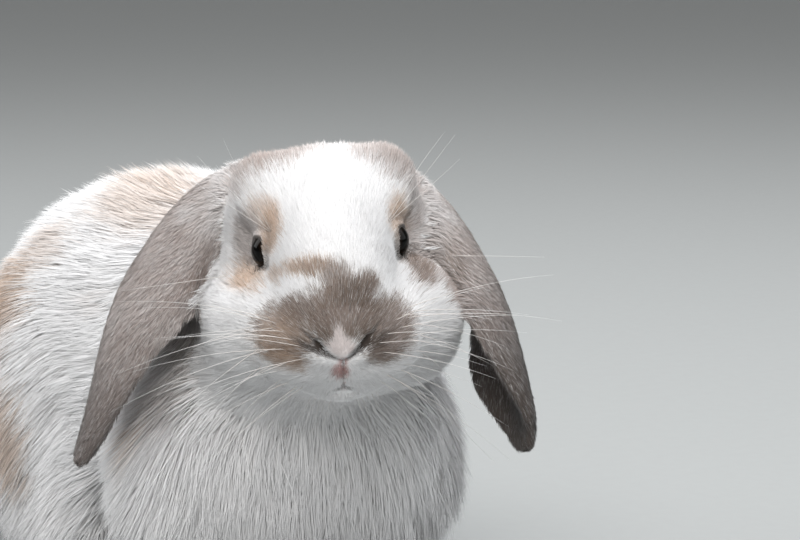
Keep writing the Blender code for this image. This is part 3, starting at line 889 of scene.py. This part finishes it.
def hair_directions(surface, zones, normals):
    """The way the hair lies: from the nose back, down the ears, and back along the body."""
    points = surface.points
    head_points, level = in_frame(HEAD, points), in_frame(LEVEL_HEAD, points)
    directions = np.zeros_like(points)
    for zone, way in LIE.items():
        directions[zones == zone] = way
    chest = (1 - ease(points[:, 1] / MM, -110, -70)) * np.isin(zones, CHEST_ZONES)
    down = np.tile((0.0, -0.12, -1.0), (len(points), 1))
    down[:, 0] = points[:, 0] * 5
    directions = blend(directions, down, chest)
    on_head = zones == "head"
    from_parting = head_points - HAIR_PARTING
    directions[on_head] = unit(turned_out(HEAD, from_parting))[on_head]
    for side in SIDES.values():
        ear = (zones == "ear") & (level[:, 0] * side > 0)
        from_root = level - np.array(EAR_ROOT) * (side, 1, 1)
        directions[ear] = unit(turned_out(LEVEL_HEAD, from_root))[ear]
    directions = unit(surface.spread(unit(directions), 14))
    return unit(directions - normals * np.sum(directions * normals, axis=1, keepdims=True))


def bare_skin(colours, points, settings):
    """Dark lid rims, painted shade in the nostrils, the mouth and the lip's cleft, and the pink
    lip, over the coat's colour.
    """
    head_points = in_frame(HEAD, points)
    dark, lip = np.array(settings.dark), np.array(settings.lip)
    wing = 0.35 + 0.65 * ease(np.abs(head_points[:, 0]), 3.5, 7)
    for name, side in SIDES.items():
        ring = around_eye(points, name)[0]
        # Painted shade in the nostrils' hollows and along the mouth's line.
        hollow = np.clip(nostril(head_points, side, 1.2, 1.4), 0, 1) * wing
        line = np.clip(mouth(head_points, side, 0.9, 1.3), 0, 1)
        for mask in ((1 - ease(ring, 1.05, 1.3)) * 0.95, hollow, line):
            colours = blend(colours, dark, mask)
    cleft = groove(head_points, LIP_CLEFT, 1.6, 1.0, 1.0)
    colours = blend(colours, lip, np.clip(cleft * 1.2, 0, 1) * 0.8)
    # Painted shade down the middle of the lip's cleft.
    return blend(colours, dark, groove(head_points, LIP_CLEFT, 0.5, 0.8, 1.0))


def hairiness(points):
    """How much hair is left at each point: none on the lids' rims, nostrils and lips."""
    head_points = in_frame(HEAD, points)
    hair = np.ones(len(points))
    for name, side in SIDES.items():
        hair *= ease(around_eye(points, name)[0], 1.1, 1.26)
        hair *= 1 - np.clip(nostril(head_points, side, 1.0, 1.5), 0, 1)
        hair *= 1 - np.clip(mouth(head_points, side, 0.9, 1.4), 0, 1)
    return hair * (1 - np.clip(groove(head_points, LIP_CLEFT, 1.0, 1.3, 1.0), 0, 1))


def unwrap(piece):
    """Unwrap the skin's own shape."""
    bpy.context.view_layer.objects.active = piece
    for other in bpy.context.selected_objects:
        other.select_set(False)
    piece.select_set(True)
    bpy.ops.object.mode_set(mode="EDIT")
    bpy.ops.mesh.select_all(action="SELECT")
    bpy.ops.uv.smart_project(angle_limit=radians(66), island_margin=0.002)
    bpy.ops.object.mode_set(mode="OBJECT")
    piece.data.uv_layers.active.name = "OFBake"


class RABBIT_OT_skin(bpy.types.Operator):
    """Grow one skin over the flesh, sunk under the coat, with lids, nostrils and lips"""

    bl_idname = "rabbit.skin"
    bl_label = "Skin"

    def execute(self, context):
        settings = context.scene.rabbit_coat
        rough = bpy.data.objects.new("flesh", flesh_with_lids())
        context.scene.collection.objects.link(rough)
        remesh = rough.modifiers.new("join", "REMESH")
        remesh.mode = "VOXEL"
        remesh.voxel_size = settings.skin_detail
        mesh = settled(rough)
        bpy.data.objects.remove(rough)
        surface = Surface(mesh)
        surface.points = surface.spread(surface.points, 6)
        surface.store()
        zones = nearest_zones(surface.points)
        sink_skin(surface, zones, coat_depth(surface, zones) * settings.coat_depth)
        surface.store()
        for centre in EYE_CENTRES.values():
            refine(mesh, centre, FINE_EYE)
        refine(mesh, Vector(out_of_frame(HEAD, [MUZZLE])[0]), FINE_MUZZLE)
        surface = Surface(mesh)
        sculpt_lids(surface.points)
        sculpt_muzzle(surface.points)
        surface.store()
        self.record(surface, settings)
        mesh.shade_smooth()
        skin = place("skin", mesh, skin_finish())
        unwrap(skin)
        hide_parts(*FLESH)
        return {"FINISHED"}

    def record(self, surface, settings):
        """Keep what the coat needs on the skin: its zones, depth, lie, colour and bare places."""
        points, normals = surface.points, surface.normals()
        zones = nearest_zones(points)
        keep(surface.mesh, "zone", "INT", [ZONES.index(zone) for zone in zones])
        keep(surface.mesh, "depth", "FLOAT", coat_depth(surface, zones) * settings.coat_depth)
        keep(surface.mesh, "lie", "FLOAT_VECTOR", hair_directions(surface, zones, normals))
        colours = markings(points, zones, settings, 0.0)
        keep(surface.mesh, "coat_colour", "FLOAT_COLOR", bare_skin(colours, points, settings))
        keep(surface.mesh, "hair", "FLOAT", hairiness(points))


# ---------------------------------------------------------------- coat

# Each piece of the coat: its zones, its side (1 left, -1 right, 0 both), whether it is the part in
# front of or behind the zones' border (1, -1, or 0 for all), and its strands.
COAT_PIECES = (
    ("coat_face_left", ("head",), 1, 1, 46000),
    ("coat_face_right", ("head",), -1, 1, 46000),
    ("coat_crown", ("head",), 0, -1, 35000),
    ("coat_ear_left", ("ear",), 1, 0, 31000),
    ("coat_ear_right", ("ear",), -1, 0, 31000),
    ("coat_chest", ("neck", "trunk"), 0, 1, 49000),
    ("coat_back_left", ("neck", "trunk"), 1, -1, 33000),
    ("coat_back_right", ("neck", "trunk"), -1, -1, 35000),
    ("coat_thigh_left", ("thigh",), 1, 0, 14000),
    ("coat_thigh_right", ("thigh",), -1, 0, 16000),
    ("coat_forelegs", ("foreleg", "forepaw"), 0, 0, 16000),
    ("coat_hindfeet", ("hindfoot",), 0, 0, 14000),
    ("coat_tail", ("tail",), 0, 0, 7000),
)
FACE_BORDER, CHEST_BORDER = 2, -60  # forward in the head's frame, and along the world's Y
# Fine on the face and feet, coarser where the coat is deep: depths, and shares of the full width.
STRAND_WIDTHS = ((0.4, 1.2, 3, 6, 10), (0.42, 0.5, 0.62, 0.85, 1))
LIFT = 22  # degrees between a strand's root and the skin
REACH = 4.1  # a strand's length over the coat's depth
LOWER, UPPER = 0.48, 0.52  # the shares of it before and after its bend
TUFT, GATHER = 9, 0.38  # strands to a tuft, and how far their tips are drawn together


class Field:
    """The skin's triangles, and what is kept at their corners."""

    def __init__(self, skin):
        mesh = skin.data
        mesh.calc_loop_triangles()
        count = len(mesh.loop_triangles)
        self.corners = np.zeros(count * 3, int)
        mesh.loop_triangles.foreach_get("vertices", self.corners)
        self.corners = self.corners.reshape(-1, 3)
        loops = np.zeros(count * 3, int)
        mesh.loop_triangles.foreach_get("loops", loops)
        surface = Surface(mesh)
        self.points, self.normals = surface.points, surface.normals()
        self.depth, self.lie, self.hair, self.zone = (
            kept(mesh, name) for name in ("depth", "lie", "hair", "zone")
        )
        wrap = np.zeros(len(mesh.loops) * 2)
        mesh.uv_layers["OFBake"].data.foreach_get("uv", wrap)
        self.wrap = wrap.reshape(-1, 2)[loops].reshape(-1, 3, 2)
        a, b, c = (self.points[self.corners[:, i]] for i in range(3))
        self.areas = np.linalg.norm(np.cross(b - a, c - a), axis=1) / 2
        self.centres = (a + b + c) / 3
        self.tree = BVHTree.FromPolygons(self.points.tolist(), self.corners.tolist())

    def onto(self, points, normals, reach):
        """The skin's places and normals under points, where it is near and faces the same way."""
        found = [self.tree.find_nearest(point) for point in points.tolist()]
        places = np.array([hit[0][:] for hit in found])
        ways = unit(self.normals[self.corners[[hit[2] for hit in found], 0]])
        close = np.linalg.norm(places - points, axis=1) < reach
        close &= np.sum(ways * normals, axis=1) > 0.1
        return np.where(close[:, None], places, points), np.where(close[:, None], ways, normals)

    def own(self, zones, side, part):
        """Which triangles belong to a piece of the coat."""
        wanted = np.isin(self.zone[self.corners[:, 0]], [ZONES.index(zone) for zone in zones])
        head = in_frame(HEAD, self.centres)
        if "head" in zones or "ear" in zones:
            left, in_front = head[:, 0] >= 0, head[:, 1] > FACE_BORDER
        else:
            at = self.centres / MM
            left, in_front = at[:, 0] >= 0, at[:, 1] < CHEST_BORDER
        if side:
            wanted &= left == (side > 0)
        if part:
            wanted &= in_front == (part > 0)
        return np.nonzero(wanted)[0]


def strand_width(depth, settings):
    depths, shares = (np.array(column) for column in STRAND_WIDTHS)
    return np.interp(depth, depths * MM, shares * settings.strand_width)


def sow(field, own, count, settings, made):
    """Roots of strands over a piece's triangles, closer together where the hair is short."""
    depth = field.depth[field.corners[own]].mean(axis=1)
    hair = field.hair[field.corners[own]].mean(axis=1)
    covers = strand_width(depth, settings) * (depth + 1.2 * MM)
    weight = field.areas[own] * hair / covers**0.75
    chosen = own[np.sort(made.choice(len(own), count, p=weight / weight.sum()))]
    first, second = made.random(count), made.random(count)
    over = first + second > 1
    first[over], second[over] = 1 - first[over], 1 - second[over]
    shares = np.stack([1 - first - second, first, second], axis=1)
    corners = field.corners[chosen]

    def at(values):
        return np.einsum("ij,ij...->i...", shares, values[corners])

    return {
        "at": at(field.points),
        "normal": unit(at(field.normals)),
        "lie": unit(at(field.lie)),
        "depth": at(field.depth),
        "hair": at(field.hair),
        "zone": np.array(ZONES)[field.zone[corners[:, 0]]],
        "wrap": np.einsum("ij,ijk->ik", shares, field.wrap[chosen]),
    }


def nearest_leaders(points, leaders, size):
    """The index of a leader close to each point, found on a grid of cells."""
    shift = points.min(axis=0) - size
    cells = np.floor((points - shift) / size).astype(int)
    spans = cells.max(axis=0) + 2
    keys = (cells[:, 0] * spans[1] + cells[:, 1]) * spans[2] + cells[:, 2]
    table = {}
    for leader in leaders:
        table.setdefault(keys[leader], []).append(leader)
    chosen = np.full(len(points), -1)
    order = np.argsort(keys, kind="stable")
    starts = np.nonzero(np.diff(keys[order], prepend=-1))[0]
    for start, end in zip(starts, np.append(starts[1:], len(order))):
        members = order[start:end]
        here = table.get(keys[members[0]])
        if here:
            gaps = np.linalg.norm(points[members][:, None] - points[here][None], axis=2)
            chosen[members] = np.array(here)[gaps.argmin(axis=1)]
    return chosen


def grow(field, roots, settings, made):
    """Each strand's points, which follow the skin, and the ways they face above and below."""
    count = len(roots["at"])
    normal, lie, depth = roots["normal"], roots["lie"], roots["depth"]
    side = unit(np.cross(normal, lie))
    swirl = ripple(roots["at"], 16 * MM, 21) * 0.14 + made.normal(size=count) * 0.14
    way = lie * np.cos(swirl)[:, None] + side * np.sin(swirl)[:, None]
    lift = LIFT + 3 * made.normal(size=count) + 3 * ripple(roots["at"], 8 * MM, 22)
    lift = np.clip(np.radians(lift), 0.15, 0.8)
    rest = lift * made.uniform(0.1, 0.45, count)
    length = REACH * depth * made.uniform(0.7, 1.08, count) * (0.5 + 0.5 * roots["hair"])
    width = strand_width(depth, settings) * made.uniform(0.75, 1.15, count)

    # Two stretches over the skin, and then up by what the lift gives.
    start = roots["at"] - normal * 0.3 * MM
    first = (length * LOWER * np.cos(lift))[:, None]
    under, faces = field.onto(roots["at"] + way * first, normal, length * 0.45)
    onward = unit(way - faces * np.sum(way * faces, axis=1, keepdims=True))
    last = (length * UPPER * np.cos(rest))[:, None]
    end, tip_faces = field.onto(under + onward * last, faces, length * 0.45)
    tip = end + tip_faces * (length * (LOWER * np.sin(lift) + UPPER * np.sin(rest)))[:, None]

    # Tips lean to a leader's nearby.
    span = np.median(length) * 0.42
    leaders = made.choice(count, max(count // TUFT, 1), replace=False)
    leader = nearest_leaders(roots["at"], leaders, span)
    led = np.nonzero(leader >= 0)[0]
    offset = tip[leader[led]] - tip[led]
    close = (np.linalg.norm(offset, axis=1) < span * 1.6)[:, None]
    tip[led] += offset * close * GATHER

    # A sliver, whose shading is rounder where the coat is short.
    across = unit(np.cross(tip - start, normal))
    raised = unit(np.cross(across, tip - start))
    half, high = across * (width * 0.5)[:, None], raised * (width * 0.4)[:, None]
    belly = start * 0.55 + tip * 0.45 + high
    rounded = 0.4 - 0.25 * ease(depth, 3 * MM, 8 * MM)[:, None]
    points = np.stack([start, belly + half, belly - half, tip], axis=1)
    facing = [normal, raised * 0.8 + across * rounded, raised * 0.8 - across * rounded, raised]
    facing = unit(np.stack(facing, axis=1) + 0.7 * normal[:, None])
    facing = np.concatenate([facing, -np.repeat(raised[:, None], 4, axis=1)], axis=1)
    points[:, :, 2] = np.maximum(points[:, :, 2], 0.15 * MM)
    return points, facing


def strand_colours(roots, points, settings, made):
    """Each strand takes the colour of the place it covers, a little lighter or darker."""
    count = len(points)
    root, tip = points[:, 0], points[:, -1]
    covered = root + (tip - root) * made.uniform(0.35, 0.8, (count, 1))
    colours = markings(covered, roots["zone"], settings, made.normal(size=count))
    tone = 1 + made.normal(size=count) * 0.05
    coloured = 1 - ease(colours.min(axis=1), 0.45, 0.8)
    pale = (made.random(count) < 0.2) * coloured * made.uniform(0.1, 0.4, count)
    sooty = (made.random(count) < 0.18) * coloured * 0.35
    colours = blend(colours, np.array(settings.white), pale)
    return np.clip(colours * (tone * (1 - sooty))[:, None], 0.004, 0.95)


def strand_mesh(name, points, facing, colours, wrap):
    """A closed sliver to each strand: two faces above and two below."""
    count = len(points)
    pattern = np.array(((0, 1, 2), (3, 2, 1), (0, 3, 1), (0, 2, 3)))
    faces = (np.arange(count)[:, None, None] * 4 + pattern[None]).reshape(-1, 3)
    mesh = mesh_from(name, points.reshape(-1, 3), faces)
    sides = np.concatenate([pattern[:2], pattern[2:] + 4])
    mesh.normals_split_custom_set(facing[:, sides.ravel()].reshape(-1, 3))
    keep(mesh, "coat_colour", "FLOAT_COLOR", np.repeat(colours, 4, axis=0))
    keep(mesh, "along", "FLOAT", np.tile((0.0, 0.6, 0.6, 1.0), count))
    # On the bake map each strand has a small square, at its root's place on the skin's map.
    low, high = wrap.min(axis=0), wrap.max(axis=0)
    spread = (wrap - low) / np.maximum(high - low, 1e-6) * 0.99 + 0.002
    square = np.array(((0, 0), (0, 1), (1, 1), (1, 0))) * 0.003
    places = (spread[:, None] + square[None]).reshape(-1, 2)
    layer = mesh.uv_layers.new(name="OFBake")
    layer.data.foreach_set("uv", places[faces.ravel()].astype(np.float32).ravel())
    return mesh


class RABBIT_OT_coat(bpy.types.Operator):
    """Grow the coat over the skin, in strands that follow the lie of the hair"""

    bl_idname = "rabbit.coat"
    bl_label = "Coat"

    def execute(self, context):
        settings = context.scene.rabbit_coat
        field = Field(bpy.data.objects["skin"])
        finish = fur_finish()
        for i, (name, zones, side, part, count) in enumerate(COAT_PIECES):
            made = np.random.default_rng(100 + i)
            own = field.own(zones, side, part)
            roots = sow(field, own, int(count * settings.fullness), settings, made)
            points, facing = grow(field, roots, settings, made)
            colours = strand_colours(roots, points, settings, made)
            mesh = strand_mesh(name, points, facing, colours, roots["wrap"])
            piece = place(name, mesh, finish)
        return {"FINISHED"}


# ---------------------------------------------------------------- whiskers, eyes and claws

RINGS, CORNERS = 11, 4  # of each long hair's tube
BROW_HAIRS = ((0.5, 44), (0.85, 42), (1.3, 38))  # how far each leans outwards, and its length
SPARE = np.array((13, 13, 4)) * MM  # how far the long hairs may reach past the frame's box
CORNEA = 0.5 * MM  # how far it bulges
EYE_RIM = 56  # degrees from the pupil's middle to the eye's pale rim


def whisker_rings(start, way, sag, length, width, made):
    """The rings of a tapered hair that leaves its root one way and droops."""
    side = unit(np.cross(way, (0, 0, 1)))
    over = np.cross(side, way)
    droop = side * (made.normal() * 0.12) + np.array((0, 0, -sag))
    rings, along = [], []
    for i in range(RINGS):
        share = i / (RINGS - 1)
        centre = start + way * (length * share) + droop * (length * share**2)
        radius = width / 2 * (1 - 0.85 * share)
        for j in range(CORNERS):
            turn = 2 * pi * j / CORNERS
            rings.append(centre + (side * cos(turn) + over * sin(turn)) * radius)
            along.append(share)
    return rings, along


def whisker_plan(settings, made):
    """Where each long hair grows, which way, how far, how thick it is and how much it droops."""
    plan = []
    for side in SIDES.values():
        for i in range(settings.whiskers):
            row, column = i % 5, i // 5
            out = 11 + column * 3.2 + made.uniform(-1, 1)
            root = (side * out, 52 - column * 4.5, -2 - row * 3.6)
            left, forward = side * made.uniform(0.75, 1.1), made.uniform(-0.45, 0.15)
            way = (left, forward, 0.2 - row * 0.27 + made.normal() * 0.12)
            plan.append((root, way, made.uniform(30, 66), 0.26, 0.16))
        for lean, reach in BROW_HAIRS:
            plan.append(((side * 24, 3, 12), (side * lean, -0.35, 1.0), reach, 0.24, -0.02))
        plan.append(((side * 36, -2, -12), (side * 1.0, 0.15, 0.05), 45, 0.24, 0.02))
        for i in range(5):
            root, way = (side * (3 + i * 1.5), 46 - i, -27), (side * 0.35, 0.2, -0.9)
            plan.append((root, way, made.uniform(12, 22), 0.2, 0.1))
    return plan


def on_skin(tree, point):
    """A place just under the skin, by a point of the head's frame."""
    found = tree.find_nearest(Vector(out_of_frame(HEAD, [point])[0]))
    return np.array(found[0]) - np.array(found[1]) * 0.8 * MM


def room(start, way):
    """How far a hair may reach before it stands too far out of the frame's box."""
    walls = np.where(way > 0, np.array(CAD_BOX[1]) + SPARE, np.array(CAD_BOX[0]) - SPARE)
    return np.min((walls - start) / np.where(np.abs(way) < 1e-6, 1e-6, way))


def tube_faces(first):
    """The faces of a long hair's tube, whose points start at first."""
    last = first + (RINGS - 1) * CORNERS
    faces = []
    for ring in range(first, last, CORNERS):
        for j in range(CORNERS):
            a, b = ring + j, ring + (j + 1) % CORNERS
            faces.append((a, b, b + CORNERS, a + CORNERS))
    return faces + [tuple(first + j for j in (3, 2, 1, 0)), tuple(last + j for j in (0, 1, 2, 3))]


class RABBIT_OT_whiskers(bpy.types.Operator):
    """Grow whiskers on the muzzle, over the eyes, on the cheeks and under the chin"""

    bl_idname = "rabbit.whiskers"
    bl_label = "Whiskers"

    def execute(self, context):
        settings = context.scene.rabbit_coat
        skin = bpy.data.objects["skin"]
        tree = BVHTree.FromObject(skin, context.evaluated_depsgraph_get())
        made = np.random.default_rng(7)
        points, along, faces = [], [], []
        for root, way, length, width, sag in whisker_plan(settings, made):
            way = unit(turned_out(HEAD, np.array(way)))
            start = on_skin(tree, root)
            reach = min(length * MM, room(start, way))
            rings, shares = whisker_rings(start, way, sag, reach, width * MM, made)
            faces.extend(tube_faces(len(points)))
            points.extend(rings)
            along.extend(shares)
        mesh = mesh_from("whiskers", np.array(points), np.array(faces))
        keep(mesh, "along", "FLOAT", along)
        place("whiskers", mesh, whisker_finish())
        return {"FINISHED"}


class RABBIT_OT_eyes(bpy.types.Operator):
    """Make each eyeball with its cornea, iris and pupil"""

    bl_idname = "rabbit.eyes"
    bl_label = "Eyes"

    def execute(self, context):
        for side in SIDES:
            shape = bmesh.new()
            bmesh.ops.create_uvsphere(shape, u_segments=64, v_segments=40, radius=EYE_RADIUS)
            mesh = bpy.data.meshes.new("eyeball_" + side)
            shape.to_mesh(mesh)
            shape.free()
            surface = Surface(mesh)
            out = eye_frame(side)[0]
            ways = unit(surface.points)
            lean = np.degrees(np.arccos(np.clip(ways @ out, -1, 1)))
            cornea = CORNEA * (1 - ease(lean, 10, 46))
            surface.points += ways * cornea[:, None] + np.array(EYE_CENTRES[side])
            surface.store()
            keep(mesh, "out_of_pupil", "FLOAT", np.clip(lean / EYE_RIM, 0, 1))
            mesh.shade_smooth()
            eye = place("eyeball_" + side, mesh, eye_finish(side))
            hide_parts("eye_" + side)
        return {"FINISHED"}


class RABBIT_OT_claws(bpy.types.Operator):
    """Give the frame's claws their horn"""

    bl_idname = "rabbit.claws"
    bl_label = "Claws"

    def execute(self, context):
        horn = claw_finish()
        for name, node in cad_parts.items():
            if name.startswith("claw"):
                node.data.materials.clear()
                node.data.materials.append(horn)
        return {"FINISHED"}


# ---------------------------------------------------------------- stage

# Each softbox: its place and size in metres, its share of the power, and its colour.
SOFTBOXES = {
    "key": ((-0.75, -1.3, 1.35), 1.0, 0.95, (1, 0.985, 0.96)),
    "top": ((0.1, 0.1, 1.7), 1.6, 1.15, (0.97, 0.985, 1)),
    "fill": ((1.3, -0.7, 0.8), 1.1, 0.25, (0.95, 0.98, 1)),
    "back right": ((-1.3, 1.1, 0.9), 1.0, 0.42, (1, 1, 1)),
    "back left": ((0.75, 1.0, 1.9), 1.0, 0.4, (1, 1, 1)),
}
LIT = Vector((0, -0.05, 0.1))  # where the softboxes point
AIM_RIGHT, AIM_DOWN = 26.2, 9.4  # where the camera points, off the middle of the eyes


def softbox(name, location, size, power, colour):
    """A square lamp that points at the rabbit."""
    light = bpy.data.lights.new(name, "AREA")
    light.shape = "RECTANGLE"
    light.size = light.size_y = size
    light.energy = power
    light.color = colour
    lamp = bpy.data.objects.new(name, light)
    lamp.location = location
    lamp.rotation_euler = (Vector(location) - LIT).to_track_quat("Z", "Y").to_euler()
    bpy.context.scene.collection.objects.link(lamp)


def sweep_mesh():
    """A floor that curves up into a backdrop on every side."""
    edge, bend, steps, sides = 7.0, 3, 16, 96
    rings = [(radius, 0.0) for radius in (0.02, 0.3, 0.8, 1.6, 3.5, edge)]
    for i in range(1, steps + 1):
        turn = pi / 2 * i / steps
        rings.append((edge + bend * sin(turn), bend - bend * cos(turn)))
    rings.append((edge + bend, 2 * bend))
    points, faces = [], []
    for radius, height in rings:
        for i in range(sides):
            turn = 2 * pi * i / sides
            points.append((radius * cos(turn), radius * sin(turn), height))
    for first in range(0, len(points) - sides, sides):
        for i in range(sides):
            a, b = first + i, first + (i + 1) % sides
            faces.append((a, b, b + sides, a + sides))
    mesh = bpy.data.meshes.new("floor")
    mesh.from_pydata(points, [], faces + [tuple(range(sides))])
    mesh.shade_smooth()
    return mesh


class RABBIT_OT_stage(bpy.types.Operator):
    """Set out the floor, the soft light and the camera"""

    bl_idname = "rabbit.stage"
    bl_label = "Stage"

    def execute(self, context):
        settings = context.scene.rabbit_stage
        floor = bpy.data.objects.new("floor", sweep_mesh())
        context.scene.collection.objects.link(floor)
        paper = Finish("floor paper", Specular_IOR_Level=0.2)
        grain = paper.noise(140, 4.0)
        shade = paper.mix(grain * 0.06, (*settings.floor_colour, 1), grey(0.5), "MULTIPLY")
        paper.shine(Base_Color=shade, Roughness=0.8 + grain * 0.1)
        floor.data.materials.append(paper.material)
        for name, (location, size, share, colour) in SOFTBOXES.items():
            softbox(name, location, size, settings.key_power * share, colour)
        world = bpy.data.worlds.new("studio")
        world.use_nodes = True
        backdrop = world.node_tree.nodes["Background"]
        backdrop.inputs["Color"].default_value = grey(0.9)
        backdrop.inputs["Strength"].default_value = 0.75
        context.scene.world = world
        context.scene.view_settings.view_transform = "Standard"
        self.set_camera(context, settings.camera_distance)
        return {"FINISHED"}

    def set_camera(self, context, distance):
        """Look at the face from the rabbit's right and a little above, the head left of centre."""
        turn, height = radians(VIEW_TURN), radians(VIEW_HEIGHT)
        away = Vector((sin(turn) * cos(height), -cos(turn) * cos(height), sin(height)))
        right = (-away).cross(Vector((0, 0, 1))).normalized()
        up = right.cross(-away)
        aim = EYE_MIDDLE + right * AIM_RIGHT * MM - up * AIM_DOWN * MM
        camera = bpy.data.cameras.new("camera")
        camera.sensor_width = 36
        camera.lens = camera.sensor_width * distance / (VIEW_WIDTH * MM)
        viewer = bpy.data.objects.new("camera", camera)
        axes = Matrix((right, up, away)).transposed().to_4x4()
        viewer.matrix_world = Matrix.Translation(aim + away * distance) @ axes
        context.scene.collection.objects.link(viewer)
        context.scene.camera = viewer


class RABBIT_PT_panel(bpy.types.Panel):
    """Everything that makes the rabbit, in order"""

    bl_idname = "RABBIT_PT_panel"
    bl_label = "Rabbit"
    bl_space_type = "VIEW_3D"
    bl_region_type = "UI"
    bl_category = "Rabbit"

    def draw(self, context):
        for settings in (context.scene.rabbit_coat, context.scene.rabbit_stage):
            box = self.layout.box()
            for name in settings.__annotations__:
                box.prop(settings, name)
        for operator in OPERATORS:
            self.layout.operator(operator.bl_idname)


OPERATORS = (
    RABBIT_OT_skin,
    RABBIT_OT_coat,
    RABBIT_OT_whiskers,
    RABBIT_OT_eyes,
    RABBIT_OT_claws,
    RABBIT_OT_stage,
)
CLASSES = (CoatSettings, StageSettings, *OPERATORS, RABBIT_PT_panel)


def register():
    for made in CLASSES:
        bpy.utils.register_class(made)
    bpy.types.Scene.rabbit_coat = PointerProperty(type=CoatSettings)
    bpy.types.Scene.rabbit_stage = PointerProperty(type=StageSettings)


def unregister():
    del bpy.types.Scene.rabbit_coat
    del bpy.types.Scene.rabbit_stage
    for made in reversed(CLASSES):
        bpy.utils.unregister_class(made)


def main():
    register()
    bpy.ops.rabbit.skin()
    bpy.ops.rabbit.coat()
    bpy.ops.rabbit.whiskers()
    bpy.ops.rabbit.eyes()
    bpy.ops.rabbit.claws()
    bpy.ops.rabbit.stage()


if __name__ == "__main__":
    main()
